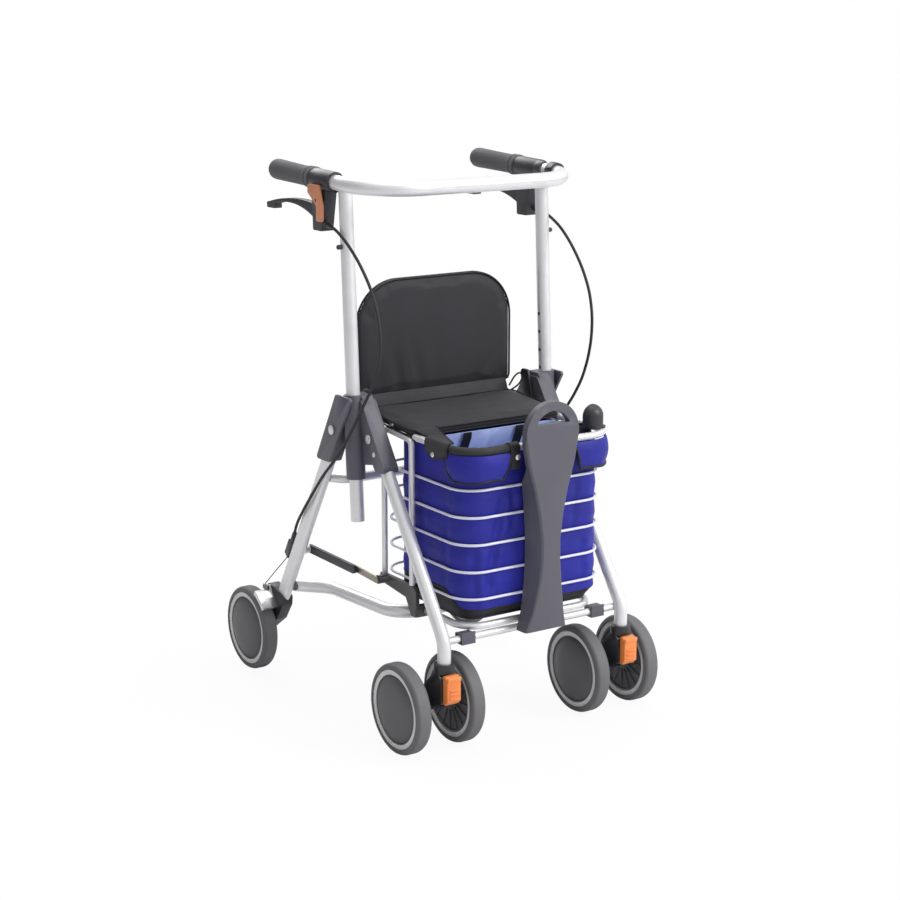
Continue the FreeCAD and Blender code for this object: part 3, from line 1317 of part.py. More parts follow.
def export(name, shapes):
    """Write one node's solids in the part's own frame."""
    if not isinstance(shapes, list):
        shapes = [shapes]
    solids = [solid for shape in shapes for solid in shape.Solids]
    node = solids[0] if len(solids) == 1 else Part.makeCompound(solids)
    node = node.translated(vec(0, origin_shift, 0))
    node.exportStep("parts/" + name + ".step")
    box = node.BoundBox
    print("%-24s solids %2d  volume %10.0f  valid %s  x %7.1f %7.1f  y %7.1f %7.1f  z %7.1f %7.1f" % (
        name, len(solids), node.Volume, node.isValid(), box.XMin, box.XMax, box.YMin, box.YMax, box.ZMin, box.ZMax))


def export_sides(name, shape):
    """Write a right node and its left twin."""
    export(name + "_right", shape)
    export(name + "_left", mirrored(shape))


def export_wheels():
    """Write the tyre and rim of each wheel."""
    places = front_wheel_places()
    places["rear_right"] = vec(-rear_wheel_x, rear_axle_y, wheel_radius)
    places["rear_left"] = vec(rear_wheel_x, rear_axle_y, wheel_radius)
    for name, place in places.items():
        prefix = name if name.startswith("rear") else "front_" + name
        export("tyre_" + prefix, tyre().translated(place))
        export("rim_" + prefix, wheel_rim().translated(place))


def main():
    """Write every node."""
    os.makedirs("parts", exist_ok=True)
    export_wheels()
    for name, shape in (("caster_yoke", caster_yoke()), ("caster_axle", caster_axle()),
                        ("swivel_lock", swivel_lock()), ("hub_bracket", hub_bracket()),
                        ("height_knob", height_knob()), ("brake_shoe", brake_shoe()),
                        ("brake_lever", brake_lever()), ("parking_lock", parking_lock()),
                        ("brace_bar", brace_bar()), ("brace_strip", brace_strip())):
        export_sides(name, shape)
    hub_bolt = [pivot_bolt()] + leg_bolts()
    export("hub_bolts", hub_bolt + [mirrored(shape) for shape in hub_bolt])
    for name, shape in (("front_legs", front_leg()), ("basket_clips", basket_clip()),
                        ("rear_brackets", rear_bracket()), ("brake_mounts", brake_mount()),
                        ("rear_axles", rear_axle()), ("cable_stops", cable_stop()), ("uprights", upright()),
                        ("grips", grip()), ("brake_housings", brake_housing()),
                        ("side_hoops", side_hoop()), ("lower_brackets", lower_bracket())):
        export(name, pair(shape))
    export("rear_legs", pair(rear_leg()) + pair(brace_pin()))
    export("front_cross_tube", front_cross_tube())
    export("rear_cross_tube", rear_cross_tube())
    export("rear_bow", rear_bow())
    export("handlebar", handlebar())
    export("cane_clip", cane_clip())
    export("basket_bottom_tube", basket_bottom_tube())
    export("basket_rings", [basket_ring(ring_lowest_z + index * ring_pitch) for index in range(ring_count)])
    export("basket_rim", basket_rim())
    export("bag", bag())
    export("seat_pad", seat_pad())
    export("backrest_pad", backrest_pad())
    export("front_panel", front_panel())
    export("cane_cup", cane_cup())
    export("upper_cables", pair(cable("upper cable", upper_cable_route)))
    export("lower_cables", pair(cable("lower cable", lower_cable_route)) + pair(inner_wire()))


main()
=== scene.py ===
import json
import logging
import math
from dataclasses import dataclass, field
from enum import Enum
from typing import Callable, Sequence

import bmesh
import bpy
from mathutils import Matrix, Vector, noise


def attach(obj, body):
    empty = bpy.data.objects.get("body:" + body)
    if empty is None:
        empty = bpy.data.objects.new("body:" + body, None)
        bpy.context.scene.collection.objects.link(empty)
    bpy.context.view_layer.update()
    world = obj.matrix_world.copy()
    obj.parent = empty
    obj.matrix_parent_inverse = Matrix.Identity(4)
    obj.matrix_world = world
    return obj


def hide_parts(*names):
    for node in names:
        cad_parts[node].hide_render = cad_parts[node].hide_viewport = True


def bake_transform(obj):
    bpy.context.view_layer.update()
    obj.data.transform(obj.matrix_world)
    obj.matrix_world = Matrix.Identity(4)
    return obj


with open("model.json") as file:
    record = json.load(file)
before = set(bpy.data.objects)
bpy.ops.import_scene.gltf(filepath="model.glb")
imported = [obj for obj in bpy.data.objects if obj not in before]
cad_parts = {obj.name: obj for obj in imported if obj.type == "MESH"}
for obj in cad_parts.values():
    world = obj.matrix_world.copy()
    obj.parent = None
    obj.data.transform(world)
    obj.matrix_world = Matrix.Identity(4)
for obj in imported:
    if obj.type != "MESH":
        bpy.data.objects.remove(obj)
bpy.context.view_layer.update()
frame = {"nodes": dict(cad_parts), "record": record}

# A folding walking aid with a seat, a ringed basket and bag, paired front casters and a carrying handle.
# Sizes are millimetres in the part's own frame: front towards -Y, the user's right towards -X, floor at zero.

LOG = logging.getLogger("rollator")
MM = 0.001
SHIFT_Y = 8.75
SIDES = {"right": -1, "left": 1}
WHITE = (1.0, 1.0, 1.0, 1.0)
Thing = bpy.types.Object
Tree = bpy.types.NodeTree
Socket = bpy.types.NodeSocket
Profile = Sequence[tuple[float, float]]


def at(x: float, y: float, z: float) -> Vector:
    """A millimetre place of the part, in metres."""
    return Vector((x * MM, (y + SHIFT_Y) * MM, z * MM))


def slope(degrees: float) -> float:
    """Rise over run of an angle."""
    return math.tan(math.radians(degrees))


def eased(value: float) -> float:
    """A value held between 0 and 1 with soft ends."""
    held = min(1.0, max(0.0, value))
    return held * held * (3 - 2 * held)


def uneven(*place: float) -> float:
    """A steady unevenness between about -1 and 1."""
    return noise.noise(Vector(place))


class Slot(Enum):
    """Names of the record's material slots."""
    BRACKET = "bracket_plastic"
    BLACK = "black_plastic"
    ORANGE = "orange_plastic"
    TYRE = "tyre_rubber"
    GRIP = "grip_rubber"
    STEEL = "steel"
    BAG = "bag_fabric"
    PAD = "pad_fabric"
    CABLE = "cable_sleeve"


def feed(tree: Tree, node: bpy.types.Node, inputs: dict) -> None:
    """Give a node's inputs, by name or number, a value or the socket that feeds them.

    Args:
        tree: node tree of a material or of the world.
        node: node of that tree.
        inputs: values or feeding sockets, by the input's name or number.
    """
    for key, value in inputs.items():
        if isinstance(value, bpy.types.NodeSocket):
            tree.links.new(value, node.inputs[key])
        else:
            node.inputs[key].default_value = value


def shader_node(tree: Tree, kind: str, inputs: dict | None = None,
                **settings: object) -> bpy.types.NodeOutputs:
    """Add a node.

    Args:
        tree: node tree of a material or of the world.
        kind: the node's type, without the words that every shader node's type starts with.
        inputs: values or feeding sockets, by the input's name or number.
        settings: the node's own settings.

    Returns:
        The node's outputs.
    """
    node = tree.nodes.new("ShaderNode" + kind)
    for key, value in settings.items():
        setattr(node, key, value)
    feed(tree, node, inputs or {})
    return node.outputs


@dataclass(frozen=True)
class Finish:
    """A moulded, painted or plated surface: colour drift, fine grain and worn edges on Object coordinates."""
    name: str
    color: tuple[float, float, float]
    roughness: float = 0.5
    metallic: float = 0.0
    specular: float = 0.5
    coat: float = 0.0
    sheen: float = 0.0
    grain: float = 0.8
    depth: float = 0.05
    drift: float = 0.10
    drift_size: float = 70.0
    wear: float = 0.12
    rough_drift: float = 0.07

    def material(self) -> bpy.types.Material:
        """The finish as a material, made once."""
        found = bpy.data.materials.get(self.name)
        if found:
            return found
        made = bpy.data.materials.new(self.name)
        made.use_nodes = True
        made.diffuse_color = (*self.color, 1.0)
        tree = made.node_tree
        place = shader_node(tree, "TexCoord")["Object"]
        drift = self.noise(tree, place, self.drift_size, 3.0)
        bump = shader_node(tree, "Bump", {"Strength": self.depth * 10.0, "Distance": self.grain * MM * 0.25,
                                          "Height": self.relief(tree, place)})
        feed(tree, tree.nodes["Principled BSDF"], {
            "Metallic": self.metallic, "Specular IOR Level": self.specular,
            "Coat Weight": self.coat, "Coat Roughness": 0.25,
            "Sheen Weight": self.sheen, "Sheen Roughness": 0.45,
            "Base Color": self.tint(tree, drift),
            "Roughness": self.spread(tree, drift, self.roughness - self.rough_drift,
                                     self.roughness + self.rough_drift),
            "Normal": bump["Normal"]})
        return made

    def noise(self, tree: Tree, place: Socket, size: float, detail: float) -> Socket:
        """A noise texture's value, for clouds of a size in millimetres."""
        inputs = {"Scale": 1000.0 / size, "Detail": detail, "Vector": place}
        return shader_node(tree, "TexNoise", inputs)["Fac"]

    def spread(self, tree: Tree, value: Socket, low: float, high: float) -> Socket:
        """A noise value's usual range, spread over another range."""
        return shader_node(tree, "MapRange", {"From Min": 0.3, "From Max": 0.7, "To Min": low, "To Max": high,
                                              "Value": value})["Result"]

    def shade(self, share: float, add: float = 0.0) -> tuple:
        """The finish's colour times a share."""
        return (*[min(1.0, part * share + add) for part in self.color], 1.0)

    def tint(self, tree: Tree, drift: Socket) -> Socket:
        """Base colour: a slow drift of tone, and lighter worn edges.

        Args:
            tree: node tree of a material or of the world.
            drift: noise that drives the tone.

        Returns:
            The colour's socket.
        """
        tone = shader_node(tree, "Mix", {0: self.spread(tree, drift, 0.0, 1.0), 6: self.shade(1 - self.drift),
                                         7: self.shade(1 + self.drift)}, data_type="RGBA")
        worn = shader_node(tree, "MapRange", {
            "From Min": 0.53, "From Max": 0.62, "To Max": self.wear * 3.0,
            "Value": shader_node(tree, "NewGeometry")["Pointiness"]})
        return shader_node(tree, "Mix", {0: worn["Result"], 6: tone[2], 7: self.shade(1.5, 0.03)},
                           data_type="RGBA")[2]

    def relief(self, tree: Tree, place: Socket) -> Socket:
        """Height of the fine grain."""
        return self.noise(tree, place, self.grain, 2.0)


@dataclass(frozen=True)
class Weave(Finish):
    """Woven cloth: threads in every direction of the part, creases and a soft sheen."""
    depth: float = 0.03
    wear: float = 0.0
    thread: float = 1.1
    crease: float = 3.5
    crease_size: float = 35.714
    wave_length: float = 6.3

    def relief(self, tree: Tree, place: Socket) -> Socket:
        """Height of the threads with some creases.

        Args:
            tree: node tree of a material or of the world.
            place: coordinates on the piece.

        Returns:
            The height's socket.
        """
        total = 0.0
        scale = 1000.0 / (self.thread * self.wave_length)
        for axis in ("X", "Y", "Z"):
            wave = shader_node(tree, "TexWave", {"Scale": scale, "Distortion": 0.4, "Detail": 1.0,
                                                 "Vector": place}, bands_direction=axis)
            total = shader_node(tree, "Math", {0: wave["Fac"], 1: 1.0, 2: total}, operation="MULTIPLY_ADD")[0]
        slow = self.noise(tree, place, self.crease_size, 4.0)
        return shader_node(tree, "Math", {0: slow, 1: self.crease, 2: total}, operation="MULTIPLY_ADD")[0]


class Look:
    """Every finish of the walking aid."""
    tube = Finish("silver_tube", (0.74, 0.74, 0.765), 0.36, 0.42, grain=0.5, depth=0.012, drift=0.04,
                  wear=0.05)
    bracket = Finish("grey_moulding", (0.092, 0.089, 0.115), 0.48, drift=0.07)
    panel = Finish("grey_panel", (0.100, 0.098, 0.122), 0.50, drift=0.06)
    black = Finish("black_moulding", (0.023, 0.023, 0.029), 0.42, grain=0.7, drift=0.12)
    orange = Finish("orange_moulding", (0.87, 0.25, 0.055), 0.36, coat=0.2, depth=0.02, drift=0.06)
    parking = Finish("parking_orange", (0.66, 0.25, 0.12), 0.36, coat=0.2, depth=0.02, drift=0.08)
    tyre = Finish("grey_tyre", (0.128, 0.128, 0.134), 0.60, specular=0.35, grain=0.6, depth=0.06)
    ring = Finish("pale_wheel_ring", (0.68, 0.68, 0.685), 0.40, grain=0.7, depth=0.03, drift=0.05)
    cap = Finish("wheel_cap", (0.088, 0.086, 0.094), 0.46, depth=0.04, drift=0.06)
    grip = Finish("soft_grip", (0.095, 0.092, 0.100), 0.72, specular=0.3, sheen=0.1, grain=0.7, depth=0.09)
    steel = Finish("plated_steel", (0.62, 0.62, 0.63), 0.28, 0.9, grain=0.4, depth=0.01, drift=0.08)
    strip = Finish("warm_plated_steel", (0.34, 0.30, 0.25), 0.38, 0.8, grain=0.6, depth=0.03, drift=0.2)
    cast = Finish("dark_casting", (0.075, 0.073, 0.075), 0.45, 0.35, grain=1.0, depth=0.08, drift=0.2)
    wire = Finish("pale_coated_wire", (0.74, 0.74, 0.86), 0.30, coat=0.4, grain=0.6, depth=0.01, drift=0.03)
    cable = Finish("cable_sleeve", (0.022, 0.022, 0.024), 0.38, grain=0.5, depth=0.02)
    bag = Weave("blue_nylon", (0.020, 0.022, 0.290), 0.56, specular=0.26, drift=0.18, drift_size=45.0)
    # The lining cloth is pale blue; its colour is also raised as painted light, for the light that the seat
    # keeps off the lining.
    lining = Weave("pale_blue_lining_with_painted_light", (0.47, 0.57, 0.90), 0.55, sheen=0.1, drift_size=30.0)
    base = Weave("black_nylon_base", (0.009, 0.009, 0.013), 0.50, specular=0.35, drift=0.2)
    pad = Weave("black_pad_cloth", (0.027, 0.0265, 0.031), 0.62, specular=0.3, sheen=0.08, grain=0.9,
                depth=0.035, drift=0.12)
    binding = Weave("black_binding", (0.009, 0.009, 0.011), 0.5, specular=0.35, grain=0.7, depth=0.05,
                    thread=0.8)


class Bench:
    """Steps of modelling by hand that every piece shares."""

    @staticmethod
    def clear() -> None:
        """Leave edit mode and deselect everything."""
        if bpy.context.object and bpy.context.object.mode != "OBJECT":
            bpy.ops.object.mode_set(mode="OBJECT")
        bpy.ops.object.select_all(action="DESELECT")

    @staticmethod
    def own(name: str) -> Thing:
        """Name the new primitive and put its place into its mesh.

        Args:
            name: name of the piece.

        Returns:
            The piece.
        """
        piece = bpy.context.object
        piece.name = name
        piece.data.name = name
        bpy.ops.object.transform_apply(location=True, rotation=True, scale=True)
        return piece

    @staticmethod
    def linked(name: str, data: bpy.types.ID) -> Thing:
        """A new object of the scene around its data."""
        piece = bpy.data.objects.new(name, data)
        bpy.context.scene.collection.objects.link(piece)
        return piece

    @staticmethod
    def only(piece: Thing) -> None:
        """Make one object selected and active."""
        Bench.clear()
        piece.select_set(True)
        bpy.context.view_layer.objects.active = piece

    @staticmethod
    def edit(piece: Thing, kind: str = "FACE", action: str = "DESELECT") -> None:
        """Open one mesh in edit mode with nothing, or with all of it, selected.

        Args:
            piece: object to open.
            kind: "FACE", "EDGE" or "VERT".
            action: "SELECT" or "DESELECT".
        """
        Bench.only(piece)
        bpy.ops.object.mode_set(mode="EDIT")
        bpy.ops.mesh.select_mode(type=kind)
        bpy.ops.mesh.select_all(action=action)

    @staticmethod
    def pick(piece: Thing, kind: str, test: Callable) -> None:
        """Select the faces, edges or points that pass a test.

        Args:
            piece: object open in edit mode.
            kind: "FACE", "EDGE" or "VERT".
            test: takes a bmesh element and says whether it is wanted.
        """
        bpy.ops.mesh.select_mode(type=kind)
        bpy.ops.mesh.select_all(action="DESELECT")
        form = bmesh.from_edit_mesh(piece.data)
        for element in {"FACE": form.faces, "EDGE": form.edges, "VERT": form.verts}[kind]:
            if test(element):
                element.select_set(True)
        bmesh.update_edit_mesh(piece.data)

    @staticmethod
    def modify(piece: Thing, kind: str, **settings: object) -> None:
        """Add a modifier and apply it.

        Args:
            piece: object that it changes.
            kind: the modifier's type.
            settings: the modifier's settings.
        """
        Bench.only(piece)
        modifier = piece.modifiers.new(kind.title(), kind)
        for key, value in settings.items():
            setattr(modifier, key, value)
        bpy.ops.object.modifier_apply(modifier=modifier.name)

    @staticmethod
    def settle(piece: Thing, angle: float = 38.0, merge: float = 0.01, turn: bool = True) -> Thing:
        """Merge doubles, point the faces outwards and shade smooth below an angle.

        Args:
            piece: finished object.
            angle: edges sharper than this stay crisp, in degrees.
            merge: doubles nearer than this join, in millimetres.
            turn: whether the normals are worked out again.

        Returns:
            The same object.
        """
        Bench.edit(piece, "VERT", "SELECT")
        bpy.ops.mesh.remove_doubles(threshold=merge * MM)
        if turn:
            bpy.ops.mesh.normals_make_consistent(inside=False)
        bpy.ops.object.mode_set(mode="OBJECT")
        bpy.ops.object.shade_smooth_by_angle(angle=math.radians(angle))
        return piece

    @staticmethod
    def join(pieces: Sequence[Thing], name: str) -> Thing:
        """Join several meshes into the first.

        Args:
            pieces: at least two objects.
            name: name of the joined piece.

        Returns:
            The first object.
        """
        Bench.only(pieces[0])
        for piece in pieces:
            piece.select_set(True)
        bpy.ops.object.join()
        pieces[0].name = name
        pieces[0].data.name = name
        return pieces[0]

    @staticmethod
    def stamp(form: Thing, name: str, place: Matrix) -> Thing:
        """A copy of a modelled form with its own mesh, put in its place.

        Args:
            form: object to copy.
            name: name of the copy.
            place: where the copy goes.

        Returns:
            The copy.
        """
        mesh = form.data.copy()
        mesh.transform(place)
        mesh.name = name
        return Bench.linked(name, mesh)

    @staticmethod
    def box(name: str, low: Vector, high: Vector, round_edge: float) -> Thing:
        """A block with rounded edges between two corners in metres.

        Args:
            name: name of the block.
            low: its lowest corner.
            high: its highest corner.
            round_edge: radius of its edges, in millimetres.

        Returns:
            The block.
        """
        Bench.clear()
        bpy.ops.mesh.primitive_cube_add(size=1, location=(low + high) / 2)
        bpy.context.object.scale = high - low
        piece = Bench.own(name)
        Bench.edit(piece, "EDGE", "SELECT")
        bpy.ops.mesh.bevel(offset=round_edge * MM, segments=3, affect="EDGES")
        return Bench.settle(piece, 34.0)

    @staticmethod
    def slab(name: str, places: Sequence[Vector], move: tuple[float, float, float]) -> Thing:
        """A closed form between an outline and its copy.

        Args:
            name: name of the piece.
            places: points of the outline, in metres.
            move: where the copy lies from the outline, in millimetres.

        Returns:
            The new object.
        """
        Bench.clear()
        bpy.ops.mesh.primitive_circle_add(vertices=len(places), radius=1, fill_type="NGON")
        piece = Bench.own(name)
        for vertex, place in zip(piece.data.vertices, places):
            vertex.co = place
        Bench.edit(piece, "FACE", "SELECT")
        bpy.ops.mesh.extrude_region_move(TRANSFORM_OT_translate={"value": [step * MM for step in move]})
        bpy.ops.mesh.select_all(action="SELECT")
        bpy.ops.mesh.normals_make_consistent(inside=False)
        bpy.ops.object.mode_set(mode="OBJECT")
        return piece

    @staticmethod
    def turned(name: str, start: Vector, run: Vector, profile: Profile, sides: int = 40) -> Thing:
        """A turned form that starts as a cylinder and is drawn out step by step.

        Args:
            name: name of the piece.
            start: middle of the first face, in metres.
            run: direction of the axis.
            profile: pairs of distance along the axis and radius, in millimetres, after the first face.
            sides: points round the axis.

        Returns:
            The new object, closed at both ends.
        """
        Bench.clear()
        first, second = profile[0], profile[1]
        depth = (second[0] - first[0]) * MM
        bpy.ops.mesh.primitive_cylinder_add(vertices=sides, radius=first[1] * MM, depth=depth)
        piece = Bench.own(name)
        Bench.edit(piece, "VERT")
        Bench.pick(piece, "VERT", lambda v: v.co.z > 0)
        if abs(second[1] - first[1]) > 1e-4:
            share = second[1] / first[1]
            bpy.ops.transform.resize(value=(share, share, 1))
        Bench.pick(piece, "FACE", lambda f: f.normal.z > 0.9 and len(f.verts) == sides)
        for before, after in zip(profile[1:], profile[2:]):
            share = after[1] / before[1]
            step = (0, 0, (after[0] - before[0]) * MM)
            bpy.ops.mesh.extrude_region_move(TRANSFORM_OT_translate={"value": step})
            bpy.ops.transform.resize(value=(share, share, 1))
        bpy.ops.object.mode_set(mode="OBJECT")
        piece.data.transform(Matrix.Translation((0, 0, depth / 2 + first[0] * MM)))
        turn = run.normalized().to_track_quat("Z", "Y")
        piece.data.transform(Matrix.Translation(start) @ turn.to_matrix().to_4x4())
        return Bench.settle(piece)

    @staticmethod
    def tube(name: str, places: Sequence[Vector], radius: float, closed: bool = False,
             sides: int = 4) -> Thing:
        """A round cord or piping along given points.

        Args:
            name: name of the piece.
            places: points in metres.
            radius: radius in millimetres.
            closed: whether the run comes back to its start.
            sides: quarter resolution of the round.

        Returns:
            The tube as a mesh.
        """
        line = bpy.data.curves.new(name, "CURVE")
        line.dimensions = "3D"
        line.bevel_depth = radius * MM
        line.bevel_resolution = sides
        line.use_fill_caps = not closed
        line.resolution_u = 6
        spline = line.splines.new("NURBS")
        spline.points.add(len(places) - 1)
        for point, place in zip(spline.points, places):
            point.co = (*place, 1.0)
        spline.use_cyclic_u = closed
        spline.order_u = 3
        spline.use_endpoint_u = not closed
        Bench.only(Bench.linked(name, line))
        bpy.ops.object.convert(target="MESH")
        return Bench.settle(bpy.context.object, 50.0, 0.001)

    @staticmethod
    def cloth_grid(name: str, across: int, down: int, place: Callable[[float, float], Vector],
                   closed: bool = False) -> Thing:
        """A sheet shaped from a grid.

        Args:
            name: name of the piece.
            across: steps across.
            down: steps down.
            place: gives the place in metres for shares across and down.
            closed: whether the sheet closes on itself across.

        Returns:
            The sheet, without thickness.
        """
        Bench.clear()
        bpy.ops.mesh.primitive_grid_add(x_subdivisions=across, y_subdivisions=down, size=2)
        piece = Bench.own(name)
        for vertex in piece.data.vertices:
            vertex.co = place((vertex.co.x + 1) / 2, (vertex.co.y + 1) / 2)
        if closed:
            Bench.edit(piece, "VERT", "SELECT")
            bpy.ops.mesh.remove_doubles(threshold=0.02 * MM)
            bpy.ops.object.mode_set(mode="OBJECT")
        return piece

    @staticmethod
    def thicken(piece: Thing, thickness: float, side: float = -1.0, smooth: int = 1) -> Thing:
        """Give a sheet its thickness and soft faces.

        Args:
            piece: sheet without thickness.
            thickness: in millimetres.
            side: -1 inwards, 1 outwards, 0 both ways.
            smooth: subdivision levels.

        Returns:
            The same object.
        """
        Bench.modify(piece, "SOLIDIFY", thickness=thickness * MM, offset=side)
        if smooth:
            Bench.modify(piece, "SUBSURF", levels=smooth, render_levels=smooth)
        return Bench.settle(piece, 60.0, 0.001, turn=False)


def body_of(node: str) -> str:
    """The body that a CAD node rides on.

    Args:
        node: name of the CAD node.

    Returns:
        The body's name.
    """
    for body, members in frame["record"]["behaviour"]["bodies"].items():
        if node in members:
            return body
    raise KeyError(node)


def coat(piece: Thing, finish: Finish) -> None:
    """Give a piece its finish and nothing else."""
    piece.data.materials.clear()
    piece.data.materials.append(finish.material())


def dress(piece: Thing, finish: Finish, slot: Slot, body: str, *nodes: str) -> Thing:
    """Give a piece its finish and body, and let it stand for CAD nodes.

    Args:
        piece: finished object.
        finish: its surface.
        slot: not used.
        body: body that it rides on.
        nodes: CAD nodes that it replaces.

    Returns:
        The same object.
    """
    coat(piece, finish)
    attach(piece, body)
    if nodes:
        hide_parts(*nodes)
    LOG.info("%s rides on %s", piece.name, body)
    return piece


def copied(node: str, name: str, flat: float = 0.6) -> Thing:
    """A merged copy of a CAD solid with its flat faces cleaned.

    Args:
        node: name of the CAD node.
        name: name of the copy.
        flat: faces that meet below this angle become one, in degrees.

    Returns:
        The copy.
    """
    piece = Bench.linked(name, frame["nodes"][node].data.copy())
    Bench.edit(piece, "VERT", "SELECT")
    bpy.ops.mesh.remove_doubles(threshold=0.004 * MM)
    bpy.ops.mesh.dissolve_limited(angle_limit=math.radians(flat))
    bpy.ops.object.mode_set(mode="OBJECT")
    return piece


def rounded(node: str, edge: float, segments: int = 3, angle: float = 32.0) -> Thing:
    """A merged copy of a CAD solid with softly rounded edges, as a moulding has.

    Args:
        node: name of the CAD node.
        edge: radius of the round, in millimetres.
        segments: steps of the round.
        angle: edges sharper than this are rounded, in degrees.

    Returns:
        The copy.
    """
    piece = copied(node, node + "_moulded")
    Bench.modify(piece, "BEVEL", width=edge * MM, segments=segments, limit_method="ANGLE",
                 angle_limit=math.radians(angle), use_clamp_overlap=True, harden_normals=False)
    return Bench.settle(piece, 30.0, 0.003, turn=False)


class Coverage(Enum):
    """Which face of a wheel is covered."""
    TOWARDS_RIGHT = 0.0
    TOWARDS_LEFT = math.pi


@dataclass
class Wheels:
    """Six wheels, each a soft tyre, a pale ring and a dark cap with ribs behind."""
    tyre_radius: float = 75.0
    tyre_width: float = 28.0
    tyre_round: float = 7.5
    bead: tuple = (0.7, 0.5)
    ring_outer: float = 65.6
    ring_inner: float = 57.4
    ring_width: float = 25.0
    ring_round: float = 1.0
    ring_groove: tuple = ((1.5, 0.0), (0.3, -0.7))
    cap_width: float = 22.0
    cap_steps: tuple = ((1.5, 0.4), (0.8, -1.1), (0.8, 1.1), (6.0, 3.2), (10.0, 2.6), (14.0, 1.6),
                        (12.0, 0.4))
    hollow_steps: tuple = ((3.0, 0.0), (1.0, -3.2), (33.0, 0.0), (3.0, 6.5), (2.0, 0.4))
    rib_count: int = 16
    rib_middle: tuple = (9.0, 0.0, 35.5)
    rib_size: tuple = (3.2, 1.8, 33.0)
    rib_round: float = 0.4
    sides: int = 112
    centres: dict = field(default_factory=lambda: {
        "front_right_outer": (-229.5, -251.5, Coverage.TOWARDS_RIGHT),
        "front_right_inner": (-126.5, -251.5, Coverage.TOWARDS_LEFT),
        "front_left_inner": (126.5, -251.5, Coverage.TOWARDS_RIGHT),
        "front_left_outer": (229.5, -251.5, Coverage.TOWARDS_LEFT),
        "rear_right": (-231.5, 251.5, Coverage.TOWARDS_RIGHT),
        "rear_left": (231.5, 251.5, Coverage.TOWARDS_LEFT)})

    def disc(self, name: str, radius: float, width: float) -> Thing:
        """A plain disc about the X axis, open in edit mode.

        Args:
            name: name of the disc.
            radius: in millimetres.
            width: in millimetres.

        Returns:
            The disc.
        """
        Bench.clear()
        bpy.ops.mesh.primitive_cylinder_add(vertices=self.sides, radius=radius * MM, depth=width * MM,
                                            rotation=(0, math.pi / 2, 0))
        piece = Bench.own(name)
        Bench.edit(piece)
        return piece

    def annulus(self, name: str, outer: float, inner: float, width: float) -> Thing:
        """A plain ring about the X axis, made from a disc by inset and bridge.

        Args:
            name: name of the ring.
            outer: outer radius, in millimetres.
            inner: inner radius, in millimetres.
            width: in millimetres.

        Returns:
            The ring, open in edit mode.
        """
        piece = self.disc(name, outer, width)
        Bench.pick(piece, "FACE", lambda f: abs(f.normal.x) > 0.9)
        bpy.ops.mesh.inset(thickness=(outer - inner) * MM)
        bpy.ops.mesh.delete(type="FACE")
        Bench.pick(piece, "EDGE", lambda e: e.is_boundary)
        bpy.ops.mesh.bridge_edge_loops()
        return piece

    def step_in(self, steps: Profile) -> None:
        """Inset the picked faces step by step, each with its width and depth."""
        for thickness, depth in steps:
            bpy.ops.mesh.inset(thickness=thickness * MM, depth=depth * MM)

    def tyre(self) -> Thing:
        """Tyre with round shoulders, a crowned tread and a raised bead on each side."""
        piece = self.annulus("tyre_form", self.tyre_radius, self.ring_outer, self.tyre_width)
        half = self.tyre_width / 2 * MM
        reach = self.tyre_radius * MM
        Bench.pick(piece, "EDGE", lambda e: all(abs(abs(v.co.x) - half) < 1e-5
                   and abs(math.hypot(v.co.y, v.co.z) - reach) < 2e-4 for v in e.verts))
        bpy.ops.mesh.bevel(offset=self.tyre_round * MM, segments=7, affect="EDGES")
        Bench.pick(piece, "FACE", lambda f: abs(f.normal.x) > 0.995)
        self.step_in((self.bead,))
        return Bench.settle(piece, 34.0)

    def ring(self) -> Thing:
        """Pale ring with soft edges and a groove on each face."""
        piece = self.annulus("ring_form", self.ring_outer - 0.1, self.ring_inner, self.ring_width)
        Bench.pick(piece, "EDGE", lambda e: all(abs(v.co.x) > self.ring_width * 0.49 * MM for v in e.verts))
        bpy.ops.mesh.bevel(offset=self.ring_round * MM, segments=3, affect="EDGES")
        Bench.pick(piece, "FACE", lambda f: abs(f.normal.x) > 0.995)
        self.step_in(self.ring_groove)
        return Bench.settle(piece, 34.0)

    def cap(self) -> Thing:
        """Domed cap towards -X with a groove near its edge, and a ribbed hollow with a boss behind."""
        piece = self.disc("cap_form", self.ring_inner - 0.15, self.cap_width)
        for side, steps in ((-1, self.cap_steps), (1, self.hollow_steps)):
            Bench.pick(piece, "FACE", lambda f: f.normal.x * side > 0.9)
            self.step_in(steps)
        Bench.clear()
        bpy.ops.mesh.primitive_cube_add(size=1, location=Vector(self.rib_middle) * MM)
        bpy.context.object.scale = Vector(self.rib_size) * MM
        rib = Bench.own("rib_form")
        Bench.edit(rib, "EDGE", "SELECT")
        bpy.ops.mesh.bevel(offset=self.rib_round * MM, segments=2, affect="EDGES")
        bpy.ops.mesh.select_all(action="SELECT")
        bpy.ops.mesh.spin(steps=self.rib_count, dupli=True, angle=2 * math.pi, center=(0, 0, 0),
                          axis=(1, 0, 0))
        return Bench.settle(Bench.join([piece, rib], "cap_form"), 30.0)

    def build(self) -> None:
        """Model each form once and put a copy on each wheel."""
        forms = {"tyre": (self.tyre(), Look.tyre, Slot.TYRE), "ring": (self.ring(), Look.ring, Slot.BRACKET),
                 "cap": (self.cap(), Look.cap, Slot.BRACKET)}
        for wheel, (x, y, cover) in self.centres.items():
            place = Matrix.Translation(at(x, y, self.tyre_radius)) @ Matrix.Rotation(cover.value, 4, "Z")
            stands_for = {"tyre": ("tyre_" + wheel,), "ring": ("rim_" + wheel,), "cap": ()}
            for part, (form, finish, slot) in forms.items():
                piece = Bench.stamp(form, "wheel_" + part + "_" + wheel, place)
                dress(piece, finish, slot, body_of("tyre_" + wheel), *stands_for[part])
        for form, _, _ in forms.values():
            bpy.data.objects.remove(form)


